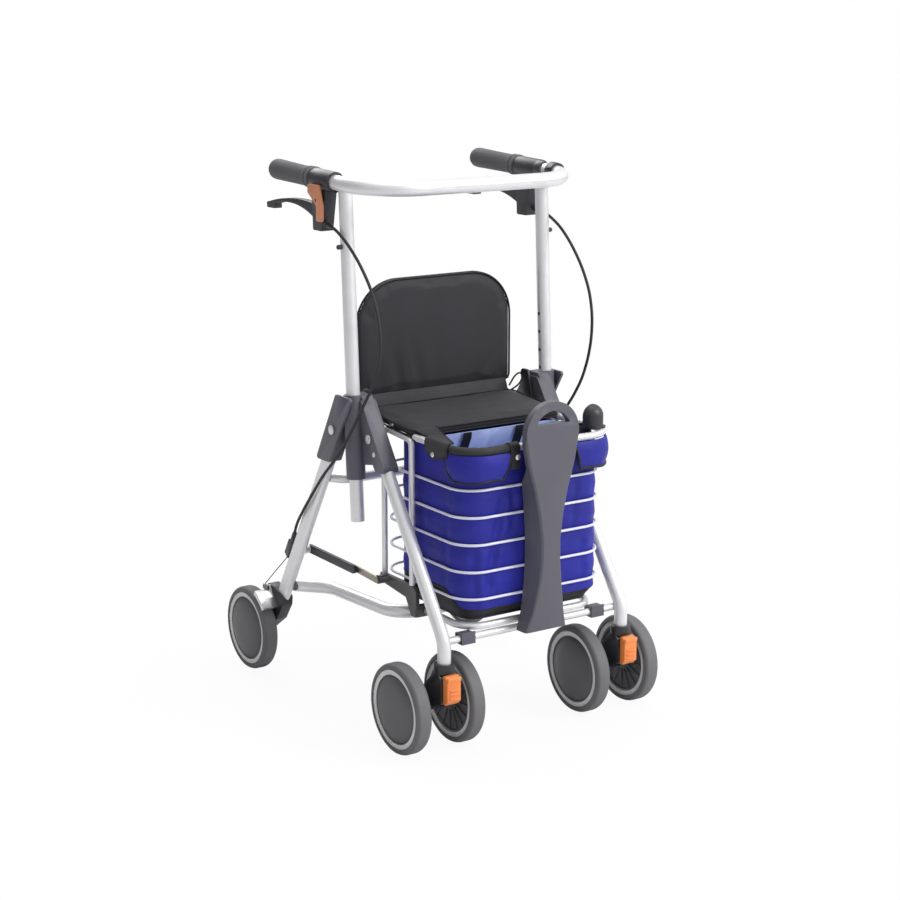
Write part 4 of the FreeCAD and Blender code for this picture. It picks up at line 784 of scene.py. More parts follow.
@dataclass
class Mouldings:
    """Plastic and cast parts: soft edges on the frame's own shapes."""
    pairs: tuple = (
        ("hub_bracket", 1.3, Look.bracket, Slot.BRACKET), ("caster_yoke", 4.0, Look.black, Slot.BLACK),
        ("brake_lever", 2.2, Look.black, Slot.BLACK), ("parking_lock", 1.4, Look.parking, Slot.ORANGE),
        ("height_knob", 1.6, Look.black, Slot.BLACK), ("brace_bar", 1.0, Look.black, Slot.BLACK),
        ("brace_strip", 0.6, Look.strip, Slot.STEEL), ("brake_shoe", 0.8, Look.steel, Slot.STEEL))
    singles: tuple = (
        ("rear_brackets", 1.3, Look.bracket, Slot.BRACKET), ("basket_clips", 0.8, Look.bracket, Slot.BRACKET),
        ("brake_housings", 2.2, Look.black, Slot.BLACK), ("brake_mounts", 1.5, Look.black, Slot.BLACK),
        ("cane_clip", 1.0, Look.black, Slot.BLACK), ("cable_stops", 1.6, Look.black, Slot.BLACK),
        ("lower_brackets", 1.4, Look.cast, Slot.BLACK), ("hub_bolts", 1.1, Look.steel, Slot.STEEL),
        ("cane_cup", 1.2, Look.black, Slot.BLACK))
    panel_edge: tuple = (2.6, 5, 28.0)

    def build(self) -> None:
        """Round the edges of each moulding."""
        sided = [(row[0] + "_" + side, *row[1:]) for row in self.pairs for side in SIDES]
        for node, edge, finish, slot in (*sided, *self.singles):
            piece = rounded(node, edge, 4 if edge > 2 else 3)
            dress(piece, finish, slot, body_of(node), node)
        dress(rounded("front_panel", *self.panel_edge), Look.panel, Slot.BRACKET, "basket", "front_panel")


@dataclass
class Frame:
    """Tubes, wires and cables, whose solids are right as they are."""
    tubes: tuple = ("front_legs", "front_cross_tube", "rear_legs", "rear_cross_tube", "rear_bow", "uprights",
                    "handlebar", "side_hoops", "basket_bottom_tube", "basket_rim")
    steels: tuple = ("caster_axle_right", "caster_axle_left", "rear_axles")
    wires: tuple = ("basket_rings",)
    cables: tuple = (
        ("upper_cables", "handle", "front_frame", (0, -30, 823), (0, -85, 492)),
        ("lower_cables", "front_frame", "rear_frame", (0, -83, 490), (0, 3, 409)))

    def smooth(self, piece: Thing, finish: Finish) -> None:
        """Give a solid its finish and shade its rounds smooth.

        Args:
            piece: solid or copy of one.
            finish: its surface.
        """
        coat(piece, finish)
        Bench.only(piece)
        bpy.ops.object.shade_smooth_by_angle(angle=math.radians(30))
        LOG.info("%s is dressed", piece.name)

    def build(self) -> None:
        """Make cable sleeves from copies of the cable solids, and dress the solids that stay."""
        for node, upper_body, lower_body, start, end in self.cables:
            piece = copied(node, node + "_sleeves", 0.05)
            self.smooth(piece, Look.cable)
            tuple(at(*start))
            tuple(at(*end))
            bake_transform(piece)
            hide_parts(node)
        for names, finish in ((self.tubes, Look.tube), (self.steels, Look.steel), (self.wires, Look.wire)):
            for name in names:
                self.smooth(frame["nodes"][name], finish)
        Bench.clear()


@dataclass(frozen=True)
class Loop:
    """A rounded rectangle seen from above, run round from the middle of its rear by way of the right side."""
    half: float
    front: float
    rear: float
    front_round: float
    rear_round: float

    def legs(self) -> tuple[float, float, float, float, float]:
        """Lengths of one side's rear straight, rear round, flank, front round and front straight."""
        return (self.half - self.rear_round, self.rear_round * math.pi / 2,
                self.rear - self.rear_round - self.front - self.front_round,
                self.front_round * math.pi / 2, self.half - self.front_round)

    def run(self) -> float:
        """Length all the way round."""
        return 2 * sum(self.legs())

    def front_share(self, walk: float) -> float:
        """Share of a place that lies so many millimetres from the front's middle, negative to the right."""
        return 0.5 + walk / self.run()

    def place(self, share: float, out: float = 0.0) -> tuple[float, float]:
        """Place at a share of the run.

        Args:
            share: 0 at the middle of the rear, 0.5 at the middle of the front.
            out: millimetres outwards.

        Returns:
            The two coordinates in millimetres.
        """
        side = -1.0 if share < 0.5 else 1.0
        a, b, c, d, _ = self.legs()
        walk = min(share, 1.0 - share) * self.run()
        if walk < a:
            x, y, turn = walk, self.rear, 0.0
        elif walk < a + b:
            turn = (walk - a) / self.rear_round
            x = self.half - self.rear_round * (1 - math.sin(turn))
            y = self.rear - self.rear_round * (1 - math.cos(turn))
        elif walk < a + b + c:
            x, y, turn = self.half, self.rear - self.rear_round - (walk - a - b), math.pi / 2
        elif walk < a + b + c + d:
            turn = math.pi / 2 + (walk - a - b - c) / self.front_round
            x = self.half - self.front_round * (1 - math.sin(turn))
            y = self.front + self.front_round * (1 + math.cos(turn))
        else:
            x, y, turn = self.half - self.front_round - (walk - a - b - c - d), self.front, math.pi
        return side * (x + out * math.sin(turn)), y + out * math.cos(turn)

    def around(self, count: int, out: float = 0.0) -> list[tuple[float, float]]:
        """Evenly spaced places all the way round."""
        return [self.place(index / count, out) for index in range(count)]


@dataclass
class SmallParts:
    """Swivel locks, grips, cable boots, push buttons and press studs."""
    grip_x: float = 205.0
    grip_front: tuple = (41.5, 899.75)
    grip_slope: float = 2.13
    grip_profile: tuple = (
        (0.0, 16.6), (2.0, 18.4), (7.0, 18.4), (9.0, 16.9), (11.0, 16.9), (13.0, 18.2), (17.0, 18.2),
        (19.0, 16.7), (22.0, 16.5), (60.0, 16.7), (100.0, 17.2), (124.0, 17.5), (130.0, 17.0), (134.0, 15.2),
        (136.3, 11.5), (137.0, 6.0))
    lock_x: float = 178.0
    lock_edge: float = 2.4
    ridge: tuple = (9.0, -331.6, -328.0, 1.0)
    ridge_heights: tuple = ((104.0, 106.6), (111.0, 113.6), (118.0, 120.6))
    flange: tuple = (13.0, -331.2, -327.0, 1.6)
    flange_heights: tuple = (133.0, 140.0)
    boots: dict = field(default_factory=lambda: {
        "upper": ("handle", (210.0, 4.6, 829.6), (-0.03, -0.98, -0.19),
                  ((0.0, 5.4), (7.0, 5.4), (8.0, 4.4), (20.0, 3.9), (22.0, 3.1))),
        "lower": ("rear_frame", (206.5, 131.0, 276.0), (-0.17, 0.54, -0.82),
                  ((0.0, 3.1), (2.0, 4.4), (14.0, 5.6), (20.0, 6.4), (24.0, 6.4)))})
    button_place: tuple = (205.0, -40.986, 795.0)
    button_profile: tuple = ((0.0, 4.0), (8.0, 4.0), (9.2, 3.2), (9.6, 1.6))
    stud_profile: tuple = ((0.0, 4.6), (1.4, 4.6), (2.2, 3.8), (2.6, 1.8))
    studs: tuple = (("seat", (-149.6, -102.0, 505.6), (-0.85, 0.0, 0.53)),
                    ("tongue", (-154.6, -232.0, 481.0), (-1.0, 0.0, 0.1)),
                    ("tab", (-53.0, -321.6, 481.0), (0.0, -1.0, 0.0)))

    def block(self, x: float, form: tuple, heights: tuple) -> Thing:
        """A block on a swivel lock, from its half width, two faces along Y, round edge and two heights."""
        half, front, rear, edge = form
        return Bench.box("block", at(x - half, front, heights[0]), at(x + half, rear, heights[1]), edge)

    def swivel_lock(self, side: str, x: float) -> None:
        """Orange tab with three finger ridges and a stop flange.

        Args:
            side: right or left.
            x: its middle, in millimetres.
        """
        node = "swivel_lock_" + side
        forms = [rounded(node, self.lock_edge, 4)]
        forms += [self.block(x, self.ridge, heights) for heights in self.ridge_heights]
        forms.append(self.block(x, self.flange, self.flange_heights))
        dress(Bench.join(forms, node + "_moulded"), Look.orange, Slot.ORANGE, body_of(node), node)

    def grip(self, side: str, sign: int) -> None:
        """Soft grip with a ribbed collar and a rounded end.

        Args:
            side: right or left.
            sign: -1 on the right, 1 on the left.
        """
        run = Vector((0, 1, slope(self.grip_slope)))
        start = at(sign * self.grip_x, *self.grip_front)
        piece = Bench.turned("grip_sleeve_" + side, start, run, self.grip_profile, 56)
        dress(piece, Look.grip, Slot.GRIP, "handle", *(("grips",) if side == "right" else ()))

    def boot(self, name: str, sign: int, body: str, start: tuple, run: tuple, profile: Profile) -> None:
        """Black ferrule where a cable leaves its housing or enters its stop.

        Args:
            name: name of the piece.
            sign: -1 on the right, 1 on the left.
            body: body that it rides on.
            start: middle of its first face on the left side.
            run: direction of its axis on the left side.
            profile: distances along it and radii.
        """
        mirror = Vector((sign, 1, 1))
        piece = Bench.turned(name, at(*(Vector(start) * mirror)), Vector(run) * mirror, profile, 28)
        dress(piece, Look.black, Slot.BLACK, body)

    def build(self) -> None:
        """Make all the small parts."""
        for side, sign in SIDES.items():
            self.swivel_lock(side, sign * self.lock_x)
            self.grip(side, sign)
            for name, row in self.boots.items():
                self.boot("cable_boot_" + name + "_" + side, sign, *row)
            x, y, z = self.button_place
            button = Bench.turned("push_button_" + side, at(sign * x, y, z), Vector((sign, 0, 0)),
                                  self.button_profile, 24)
            dress(button, Look.black, Slot.BLACK, "handle")
        for name, place, run in self.studs:
            stud = Bench.turned("press_stud_" + name, at(*place), Vector(run), self.stud_profile, 24)
            dress(stud, Look.steel, Slot.STEEL, "basket")


@dataclass
class Bag:
    """Blue nylon bag with a black base, a pale blue lining lightened with painted light, two flaps and a
    black sleeve on the rim.
    """
    outline: Loop = Loop(137.5, -299.5, -98.0, 40.0, 28.0)
    rim: Loop = Loop(145.0, -312.0, -60.0, 45.0, 20.0)
    rim_z: float = 495.0
    ring_low: float = 250.0
    ring_pitch: float = 45.0
    ring_top: float = 430.0
    top: float = 487.0
    bottom: float = 211.5
    draw_in: float = 14.0
    swell: float = 2.6
    lining_draw_in: float = 13.0
    lining_gap: float = 6.0
    straps: tuple = (("near", -55.0, -39.0), ("far", 50.0, 67.0))
    flap_sides: tuple = (("near", -1.0, 63.0, 172.0, 446.5), ("far", 1.0, 60.0, 158.0, 444.0))
    flap_top: float = 489.5
    sleeve_walks: tuple = (-208.0, -47.0)
    sleeve_radius: float = 7.1
    tab_loop_profile: tuple = ((0.0, 8.8), (1.0, 9.4), (18.0, 9.4), (19.0, 8.8))
    tab_corners: tuple = ((-65.5, -322.4, 462.0), (-47.5, -320.2, 494.0))
    creases: tuple = (
        (0.3905, 240.0, 0.4274, 425.0, 5.6, 8.0), (0.3720, 220.0, 0.3660, 345.0, 3.6, 8.0),
        (0.4080, 236.0, 0.4120, 300.0, 1.6, 5.0), (0.4480, 350.0, 0.4460, 440.0, 2.4, 7.0),
        (0.2980, 240.0, 0.3100, 420.0, 2.0, 9.0), (0.2350, 260.0, 0.2300, 400.0, 1.8, 9.0),
        (0.6080, 236.0, 0.6020, 330.0, 1.8, 7.0), (0.5820, 330.0, 0.5900, 440.0, 1.6, 7.0),
        (0.6900, 240.0, 0.6980, 420.0, 2.0, 9.0), (0.0600, 230.0, 0.0700, 400.0, 2.0, 12.0))

    def creased(self, share: float, z: float, held: float) -> float:
        """How far the creases draw the cloth in or push it out.

        Args:
            share: share of the way round.
            z: height.
            held: 1 between two rings and 0 at a ring.

        Returns:
            Millimetres outwards.
        """
        out = 0.0
        for share_low, z_low, share_high, z_high, depth, width in self.creases:
            rise = (z - z_low) / (z_high - z_low)
            along = eased(rise * 5) * eased((1 - rise) * 5)
            if along > 0:
                off = (share - share_low - (share_high - share_low) * rise) * self.outline.run() / width
                fold = 0.55 * math.exp(-(off - 1.5) ** 2) - math.exp(-off * off)
                out += along * depth * fold * (0.4 + 0.6 * held)
        return out

    def fullness(self, share: float, z: float) -> float:
        """How far the cloth stands out, between and at the rings, with its creases.

        Args:
            share: share of the way round.
            z: height.

        Returns:
            Millimetres outwards.
        """
        beat = (z - self.ring_low) / self.ring_pitch
        held = math.sin(math.pi * beat) ** 2 if self.ring_low - 20 < z < self.ring_top else 0.0
        walk = share * self.outline.run()
        return (self.swell * held * (0.75 + 0.35 * uneven(share * 9, z * 0.02, 3.1))
                + 0.8 * held * uneven(walk * 0.035, z * 0.11, 7.7) + self.creased(share, z, held))

    def seam(self, share: float) -> float:
        """Height of the seam between the blue cloth and the black base, higher on the flanks."""
        _, y = self.outline.place(share)
        return 231.0 + 28.0 * eased((y - self.outline.front - 6.0) / 60.0)

    def lowness(self, z: float) -> float:
        """0 on the bag's wall and 1 at its foot, where it draws in."""
        return eased((243.5 - z) / 32.0)

    def drawn(self, share: float, z: float, out: float) -> Vector:
        """A place on the bag, drawn in towards the bottom."""
        x, y = self.outline.place(share, out - self.draw_in * self.lowness(z) ** 2)
        return at(x, y, z)

    def shell(self) -> None:
        """Blue outer cloth."""
        def place(u: float, v: float) -> Vector:
            """Shape of the wall from the seam to the top."""
            low = self.seam(u) - 1.5
            z = low + (self.top - low) * v
            return self.drawn(u, z, self.fullness(u, z))
        piece = Bench.thicken(Bench.cloth_grid("bag_cloth", 300, 120, place, True), 1.0, -1.0, 0)
        dress(piece, Look.bag, Slot.BAG, "basket", "bag")
        self.outline.run() * MM

    def base(self) -> None:
        """Black base: a flat floor that turns up into a low wall."""
        floor_z = self.bottom + 0.4
        middle = at(0, (self.outline.front + self.outline.rear) / 2, self.bottom + 1.0)
        def place(u: float, v: float) -> Vector:
            """Shape of the floor, then of the wall round it."""
            if v < 0.5:
                spot = middle.lerp(self.drawn(u, floor_z, 0.0), v / 0.5)
                return spot + Vector((0, 0, 0.6 * MM * uneven(spot.x * 40, spot.y * 40, 0.5)))
            z = floor_z + (self.seam(u) - self.bottom) * (v - 0.5) / 0.5
            return self.drawn(u, z, 0.35 + self.fullness(u, z))
        piece = Bench.thicken(Bench.cloth_grid("bag_base", 220, 40, place, True), 1.0, -1.0, 0)
        dress(piece, Look.base, Slot.BAG, "basket")
        places = [self.drawn(index / 90, self.seam(index / 90), 0.9) for index in range(90)]
        dress(Bench.tube("bag_base_piping", places, 1.3, True), Look.binding, Slot.BAG, "basket")

    def lean(self, z: float) -> float:
        """Where the lining's rear stands: it comes forward to the seat's front edge."""
        return -101.0 - 66.0 * eased((z - 395.0) / 97.0)

    def clear_of_creases(self, z: float) -> float:
        """How far the lining stands inside the outer cloth below the rim."""
        return self.lining_gap * eased((476.0 - z) / 30.0)

    def lined(self, share: float, z: float, out: float) -> Vector:
        """A place on the lining."""
        x, y = Loop(135.8, -297.6, self.lean(z), 38.0, 26.0).place(share, out)
        return at(x, y, z + 4.5 * eased((y + 200.0) / 34.0) * eased((z - 470) / 18.0))

    def lining(self) -> None:
        """Pale blue lining with slack creases; its colour is raised as painted light for the shade under the
        seat.
        """
        foot = self.bottom + 3.0
        floor = at(0, -199.0, self.bottom + 3.2)
        def place(u: float, v: float) -> Vector:
            """Shape of the lining's wall, then of its floor."""
            if v > 0.75:
                return self.lined(u, foot, -self.lining_draw_in).lerp(floor, (v - 0.75) / 0.25)
            z = self.top + 1.0 - (self.top - 2.0 - self.bottom) * v / 0.75
            slack = 1.5 * uneven(u * 26, z * 0.02, 1.3) + uneven(u * 50 + z * 0.06, z * 0.02, 4.4)
            low = self.lowness(z)
            inward = 1.3 + self.clear_of_creases(z) * (1.0 - low) + self.lining_draw_in * low ** 2
            return self.lined(u, z, 3.0 * min(0.25, slack) * eased((492.0 - z) / 12.0) - inward)
        piece = Bench.thicken(Bench.cloth_grid("bag_lining", 260, 90, place, True), 0.8, 1.0, 0)
        dress(piece, Look.lining, Slot.BAG, "basket")

    def strap(self, name: str, low_x: float, high_x: float) -> None:
        """Black strap down the lining's rear.

        Args:
            name: which strap.
            low_x: its right edge.
            high_x: its left edge.
        """
        def place(u: float, v: float) -> Vector:
            """Shape of the hanging strap."""
            z = 492.0 - 120.0 * v
            inward = 4.2 + self.clear_of_creases(z) + 0.6 * math.sin(v * 9)
            return at(low_x + (high_x - low_x) * u, self.lean(z) - inward, z)
        piece = Bench.thicken(Bench.cloth_grid("bag_strap_" + name, 6, 30, place), 1.2, 0.0, 0)
        dress(piece, Look.binding, Slot.BAG, "basket")

    def flap(self, name: str, sign: float, inner: float, outer: float, lowest: float) -> None:
        """Blue flap that falls over the rim beside the panel, with black piping.

        Args:
            name: which flap.
            sign: -1 on the right, 1 on the left.
            inner: where it starts, in millimetres from the front's middle.
            outer: where it ends.
            lowest: height of its hem.
        """
        def place(u: float, v: float) -> Vector:
            """Shape of the flap from the rim to its hem."""
            hem = lowest + 9.0 * eased((u - 0.88) / 0.12) ** 1.5 + 1.5 * math.sin(u * 7)
            walk = inner + (outer - inner) * u
            walk += 15.0 * v * (1 - eased(u / 0.35)) - 4.0 * v * eased((u - 0.7) / 0.3)
            out = 6.0 + 4.6 * math.sin(math.pi * min(1.0, v * 1.15)) ** 0.8
            out += 0.8 * uneven(walk * 0.05, v * 2, 2.0) + 1.2 * math.exp(-((walk - 118.0) / 7.0) ** 2) * v
            x, y = self.rim.place(self.rim.front_share(sign * walk), out)
            return at(x, y, self.flap_top + (hem - self.flap_top) * v)
        piece = Bench.thicken(Bench.cloth_grid("bag_flap_" + name, 60, 24, place), 1.4, 0.0, 1)
        dress(piece, Look.bag, Slot.BAG, "basket")
        rim = [place(0.0, v / 8) for v in range(9)] + [place(u / 24, 1.0) for u in range(1, 25)]
        rim += [place(1.0, 1.0 - v / 8) for v in range(1, 9)]
        dress(Bench.tube("bag_flap_piping_" + name, rim, 2.2), Look.binding, Slot.BAG, "basket")

    def sleeve(self) -> None:
        """Black cloth sleeve round the rim's near part, and a tab beside the panel."""
        start, end = self.sleeve_walks
        places = []
        for index in range(40):
            x, y = self.rim.place(self.rim.front_share(start + index * (end - start) / 39))
            places.append(at(x, y + 0.3 * math.sin(index), self.rim_z + 0.3 * math.sin(index * 1.7)))
        cover = Bench.tube("rim_sleeve", places, self.sleeve_radius, False, 8)
        dress(cover, Look.cable, Slot.BAG, "basket")
        seam = [Vector((place.x, place.y, (self.rim_z - 7.0) * MM)) for place in places]
        dress(Bench.tube("rim_sleeve_seam", seam, 1.2), Look.binding, Slot.BAG, "basket")
        ring = Bench.turned("rim_tab_loop", at(-66.0, self.rim.front, self.rim_z), Vector((1, 0, 0)),
                            self.tab_loop_profile)
        dress(ring, Look.binding, Slot.BAG, "basket")
        low, high = self.tab_corners
        dress(Bench.box("rim_tab", at(*low), at(*high), 0.9), Look.binding, Slot.BAG, "basket")

    def build(self) -> None:
        """Make the whole bag."""
        self.shell()
        self.base()
        self.lining()
        for row in self.straps:
            self.strap(*row)
        for row in self.flap_sides:
            self.flap(*row)
        self.sleeve()


@dataclass
class Filling:
    """Padding blown up a little, as a filled cover is."""
    voxel: float = 4.0
    pressure: float = 3.5
    frames: int = 20

    def swell(self, piece: Thing, limits: tuple[float, float, float]) -> None:
        """Remesh, blow up, hold each point near its place and smooth.

        Args:
            piece: closed form, slightly smaller than the pad.
            limits: how far a point may move in each direction, in millimetres.
        """
        Bench.modify(piece, "REMESH", mode="VOXEL", voxel_size=self.voxel * MM)
        rest = [vertex.co.copy() for vertex in piece.data.vertices]
        Bench.only(piece)
        cloth = piece.modifiers.new("Cloth", "CLOTH")
        cloth.settings.quality = 6
        cloth.settings.use_pressure = True
        cloth.settings.uniform_pressure_force = self.pressure
        cloth.settings.effector_weights.gravity = 0.0
        cloth.point_cache.frame_start = 1
        cloth.point_cache.frame_end = self.frames
        for number in range(1, self.frames + 1):
            bpy.context.scene.frame_set(number)
        bpy.ops.object.modifier_apply(modifier=cloth.name)
        for vertex, old in zip(piece.data.vertices, rest):
            move = vertex.co - old
            share = max(abs(move[axis]) / (limits[axis] * MM) for axis in range(3))
            vertex.co = old + move / max(1.0, share)
        bpy.context.scene.frame_set(1)
        Bench.modify(piece, "SMOOTH", factor=0.5, iterations=3)
        Bench.modify(piece, "SUBSURF", levels=1, render_levels=1)


def bind(name: str, places: Sequence[Vector], radius: float, closed: bool, body: str) -> None:
    """A black piping, binding or seam of a pad."""
    dress(Bench.tube(name, places, radius, closed), Look.binding, Slot.PAD, body)


@dataclass
class Seat:
    """Padded seat with a binding, and a tongue of its cover that reaches forward over the rim."""
    outline: Loop = Loop(150.8, -163.0, -14.8, 13.0, 13.0)
    lift: float = 5.6
    thickness: float = 12.4
    limits: tuple = (1.2, 1.2, 3.6)
    bindings: tuple = (("top", 11.2, 0.4), ("under", 1.2, 0.2))
    rail_y: float = -75.0
    rail_z: float = 495.0
    rail_slope: float = 4.0

    def base_z(self, y: float) -> float:
        """Height of the pad's underside above the sloping rails."""
        return self.rail_z + (y - self.rail_y) * slope(self.rail_slope) + self.lift

    def pad(self) -> None:
        """Cushion over the two rails."""
        places = [at(x, y, self.base_z(y)) for x, y in self.outline.around(200)]
        piece = Bench.slab("seat_cushion", places, (0, 0, self.thickness))
        Filling().swell(piece, self.limits)
        for vertex in piece.data.vertices:
            x, y = vertex.co.x / MM, vertex.co.y / MM - SHIFT_Y
            middle = eased((138.0 - abs(x)) / 30.0)
            vertex.co.z = max(vertex.co.z, (self.base_z(y) - 0.2 - 2.5 * middle) * MM)
            if vertex.co.z / MM - self.base_z(y) - self.thickness > -3.0:
                vertex.co.z += 0.5 * MM * uneven(x * 0.03, y * 0.05, 1.0)
        dress(Bench.settle(piece, 80.0, 0.001), Look.pad, Slot.PAD, "basket", "seat_pad")

    def tongue(self) -> None:
        """Cover cloth from the near front corner to the rim's flank, folded down outside it."""
        def place(u: float, v: float) -> Vector:
            """Shape of the tongue from the seat over the rim to its hem."""
            along = -269.0 + 62.0 * u + 3.0 * math.sin(v * 5)
            hang = 477.5 + 2.5 * math.sin(u * 8) + 4.0 * (2 * u - 1) ** 4
            places = [at(-106.0 - 42.0 * u, -167.0 + 2.0 * u, 508.5),
                      at(-122.0 - 22.0 * u, (along - 167) / 2, 504.5 - 2 * u),
                      at(-137.5, along, 503.0), at(-144.0, along, 504.6), at(-150.5, along, 503.0),
                      at(-154.2, along, 498.0), at(-155.0, along, 489.0), at(-154.6, along, hang)]
            step = v * (len(places) - 1)
            index = min(int(step), len(places) - 2)
            return places[index].lerp(places[index + 1], step - index)
        piece = Bench.thicken(Bench.cloth_grid("seat_tongue", 24, 42, place), 2.0, 0.0, 1)
        dress(piece, Look.pad, Slot.PAD, "basket")
        edge = [place(0.0, v / 20) for v in range(21)] + [place(u / 10, 1.0) for u in range(1, 11)]
        edge += [place(1.0, 1.0 - v / 20) for v in range(1, 12)]
        bind("seat_tongue_binding", edge, 1.5, False, "basket")

    def build(self) -> None:
        """Make the seat."""
        self.pad()
        for name, height, out in self.bindings:
            places = [at(x, y, self.base_z(y) + height) for x, y in self.outline.around(120, out)]
            bind("seat_binding_" + name, places, 1.5, True, "basket")
        self.tongue()


@dataclass
class Backrest:
    """Padded backrest with piping, a gathered foot and a skirt down to the seat."""
    outline: Loop = Loop(155.6, 531.5, 728.8, 12.0, 80.0)
    front: float = -3.6
    thickness: float = 9.4
    limits: tuple = (1.6, 4.0, 1.4)
    foremost: float = -8.2
    pipings: tuple = (("front", -2.7), ("rear", 4.9))
    skirt_half: float = 142.0
    skirt_top: tuple = (-8.2, 537.0)
    skirt_drop: tuple = (8.2, 19.5)
    loop_places: tuple = ((150, -9, 522), (156, -9, 531), (163, -9, 539), (171, -9, 543), (177, -9, 540),
                          (178, -9, 532), (173, -9, 524), (165, -10, 519), (152, -11, 514))

    def pulled(self, x: float, z: float) -> float:
        """How far soft pulls low in the middle move the front cover back.

        Args:
            x: place across.
            z: height.

        Returns:
            Millimetres to the rear.
        """
        near = 1.5 * math.exp(-((x + 66) / 46) ** 2 - ((z - 555) / 48) ** 2)
        far = 1.0 * math.exp(-((x - 118) / 30) ** 2 - ((z - 560) / 30) ** 2)
        return (near * math.sin((x + 0.22 * (z - 535)) / 6.5) + far * math.sin((x - 0.6 * (z - 535)) / 6.0)
                + 0.5 * uneven(x * 0.02, z * 0.02, 5.0))

    def pad(self) -> None:
        """Tall cushion with a few soft pulls low in its middle."""
        places = [at(x, self.front, z) for x, z in self.outline.around(240)]
        piece = Bench.slab("backrest_cushion", places, (0, self.thickness, 0))
        Filling().swell(piece, self.limits)
        for vertex in piece.data.vertices:
            x, z = vertex.co.x / MM, vertex.co.z / MM
            if vertex.co.y / MM - SHIFT_Y < self.front + 2:
                vertex.co.y += self.pulled(x, z) * MM
            vertex.co.y = max(vertex.co.y, (SHIFT_Y + self.foremost) * MM)
        dress(Bench.settle(piece, 80.0, 0.001), Look.pad, Slot.PAD, "backrest", "backrest_pad")

    def seam(self, name: str, half: float, y: float, z: float, radius: float, body: str) -> None:
        """A straight seam across."""
        bind(name, [at(-half + 2 * half * index / 20, y, z) for index in range(21)], radius, False, body)

    def skirt(self) -> None:
        """Cloth strip between the backrest and the seat."""
        (top_y, top_z), (drop_y, drop_z) = self.skirt_top, self.skirt_drop
        def place(u: float, v: float) -> Vector:
            """Shape of the strip from the backrest down to the seat."""
            x = self.skirt_half * (2 * u - 1)
            bulge = 0.6 * math.sin(v * 3.1) + 0.5 * uneven(x * 0.05, v, 9.0)
            return at(x, top_y - drop_y * v - bulge, top_z - drop_z * v)
        piece = Bench.thicken(Bench.cloth_grid("backrest_skirt", 60, 14, place), 1.4, 0.0, 1)
        coat(piece, Look.pad)
        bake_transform(piece)

    def build(self) -> None:
        """Make the backrest, its skirt and the short cord loop at the seat's far rear corner."""
        self.pad()
        for name, y in self.pipings:
            places = [at(x, y, z) for x, z in self.outline.around(150, -1.9)]
            bind("backrest_piping_" + name, places, 1.8, True, "backrest")
        self.seam("backrest_foot_seam", 149.0, -7.6, 536.5, 1.2, "backrest")
        self.skirt()
        self.seam("seat_rear_seam", self.skirt_half, -17.4, 518.0, 1.3, "basket")
        bind("pull_loop", [at(*place) for place in self.loop_places], 1.6, False, "basket")


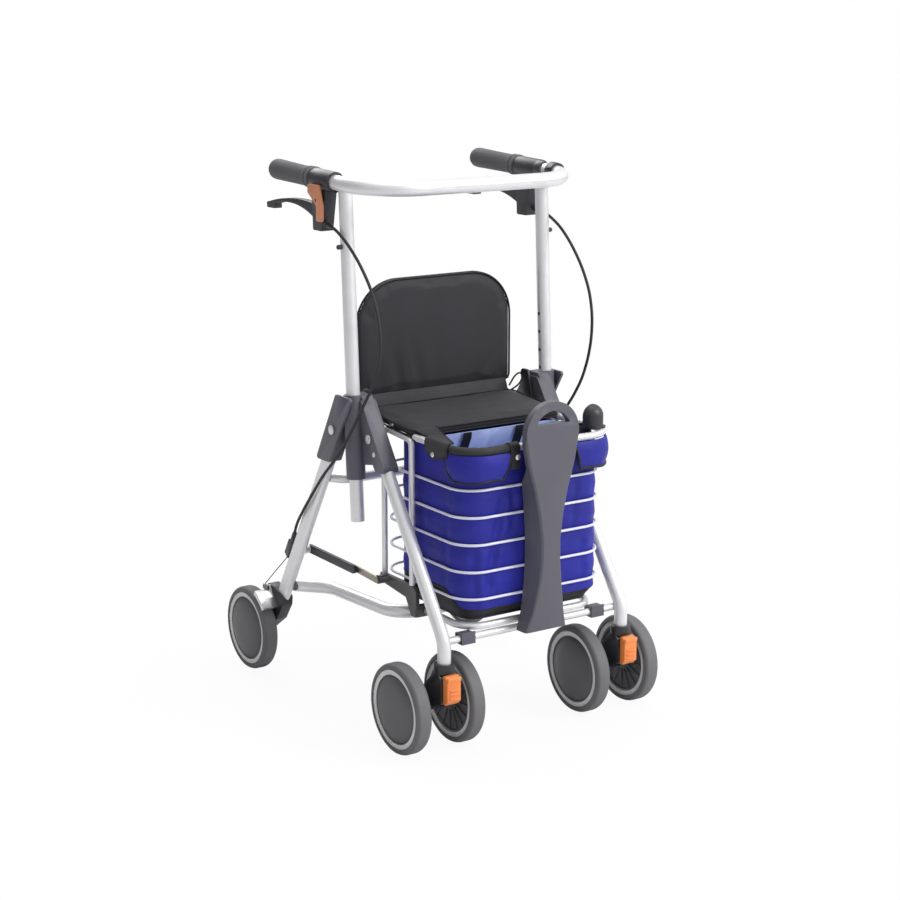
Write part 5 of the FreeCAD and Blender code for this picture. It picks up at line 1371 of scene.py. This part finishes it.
@dataclass
class Studio:
    """Camera at the photograph's angle, soft lamps and a plain pale floor, all in metres."""
    eye: tuple = (-1.8489, -2.8359, 1.2205)
    gaze: tuple = (0.53675, 0.81206, -0.22886)
    lens: float = 80.49
    sensor: float = 36.0
    lamps: tuple = (
        ("key_lamp", (2.3, -3.2, 3.0), 2.2, 120.0),
        ("fill_lamp", (-3.6, -1.6, 2.2), 3.2, 5.0),
        ("back_lamp", (0.6, 3.2, 2.8), 2.4, 60.0),
        ("top_lamp", (0.0, -0.2, 4.0), 3.0, 45.0))
    aim: tuple = (0, 0, 0.45)
    sky: float = 0.46
    sky_range: tuple = (0.35, 1.5)
    bright_side: tuple = (0.76, -0.50, 0.40)
    glossy_share: float = 1.7
    floor_size: float = 60.0
    floor_z: float = -0.0005
    floor_tone: float = 0.86
    floor_fade: tuple = (0.30, 0.75)
    shadow_share: float = 0.93

    def face(self, name: str, data: bpy.types.ID, place: tuple, way: Vector) -> Thing:
        """A camera or lamp at a place, looking along a direction.

        Args:
            name: name of the object.
            data: the camera or the lamp.
            place: where it stands.
            way: where it looks.

        Returns:
            The new object.
        """
        holder = Bench.linked(name, data)
        holder.location = place
        holder.rotation_mode = "QUATERNION"
        holder.rotation_quaternion = way.to_track_quat("-Z", "Y")
        return holder

    def camera(self) -> None:
        """Add the camera."""
        lens = bpy.data.cameras.new("camera")
        lens.lens = self.lens
        lens.sensor_width = self.sensor
        lens.sensor_fit = "HORIZONTAL"
        lens.clip_start = 0.05
        bpy.context.scene.camera = self.face("camera", lens, self.eye, Vector(self.gaze))

    def light(self) -> None:
        """Add the lamps."""
        for name, place, size, power in self.lamps:
            lamp = bpy.data.lights.new(name, "AREA")
            lamp.shape = "DISK"
            lamp.size = size
            lamp.energy = power
            self.face(name, lamp, place, Vector(self.aim) - Vector(place))

    def world(self) -> None:
        """Add a world that lights from one side, and that the camera sees white."""
        world = bpy.data.worlds.new("studio")
        bpy.context.scene.world = world
        world.use_nodes = True
        tree = world.node_tree
        tree.nodes.clear()
        rays = shader_node(tree, "LightPath")
        way = shader_node(tree, "TexCoord")["Generated"]
        side = shader_node(tree, "VectorMath", {0: way, 1: self.bright_side},
                           operation="DOT_PRODUCT")["Value"]
        low, high = self.sky_range
        falling = shader_node(tree, "MapRange", {"From Min": -0.9, "From Max": 0.9, "To Min": self.sky * low,
                                                 "To Max": self.sky * high, "Value": side})["Result"]
        shine = shader_node(tree, "MapRange", {"To Min": 1.0, "To Max": self.glossy_share,
                                               "Value": rays["Is Glossy Ray"]})["Result"]
        around = shader_node(tree, "Math", {0: falling, 1: shine}, operation="MULTIPLY")[0]
        seen = shader_node(tree, "Math", {0: rays["Is Camera Ray"], 1: rays["Is Transmission Ray"]},
                           operation="MAXIMUM")[0]
        strength = shader_node(tree, "MapRange", {"To Min": around, "To Max": 1.0, "Value": seen})["Result"]
        sky = shader_node(tree, "Background", {"Color": WHITE, "Strength": strength})[0]
        shader_node(tree, "OutputWorld", {"Surface": sky})

    def floor(self) -> None:
        """Add the floor, which the camera sees nearly white with the object's soft shadow."""
        Bench.clear()
        bpy.ops.mesh.primitive_plane_add(size=self.floor_size, location=(0, 0, self.floor_z))
        floor = Bench.own("studio_floor")
        made = bpy.data.materials.new("pale_floor")
        made.use_nodes = True
        tree = made.node_tree
        shader = tree.nodes["Principled BSDF"]
        feed(tree, shader, {"Base Color": (*[self.floor_tone] * 3, 1.0), "Roughness": 0.9,
                            "Specular IOR Level": 0.1})
        place = shader_node(tree, "TexCoord")["Object"]
        away = shader_node(tree, "VectorMath", {0: place}, operation="LENGTH")["Value"]
        near, far = self.floor_fade
        fade = shader_node(tree, "MapRange", {"From Min": near, "From Max": far, "To Min": self.shadow_share,
                                              "Value": away})["Result"]
        share = shader_node(tree, "Math", {0: shader_node(tree, "LightPath")["Is Camera Ray"], 1: fade},
                            operation="MULTIPLY")[0]
        glow = shader_node(tree, "Emission", {"Color": WHITE})[0]
        mix = shader_node(tree, "MixShader", {0: share, 1: shader.outputs[0], 2: glow})[0]
        feed(tree, tree.nodes["Material Output"], {"Surface": mix})
        floor.data.materials.append(made)

    def build(self) -> None:
        """Set up the whole studio."""
        bpy.context.scene.view_settings.view_transform = "Standard"
        self.camera()
        self.light()
        self.world()
        self.floor()


def main() -> None:
    """Build every class of pieces in order."""
    logging.basicConfig(level=logging.INFO)
    for step in (Studio(), Wheels(), Mouldings(), Frame(), SmallParts(), Bag(), Seat(), Backrest()):
        LOG.info("building %s", type(step).__name__)
        step.build()
    Bench.clear()


if __name__ == "__main__":
    main()
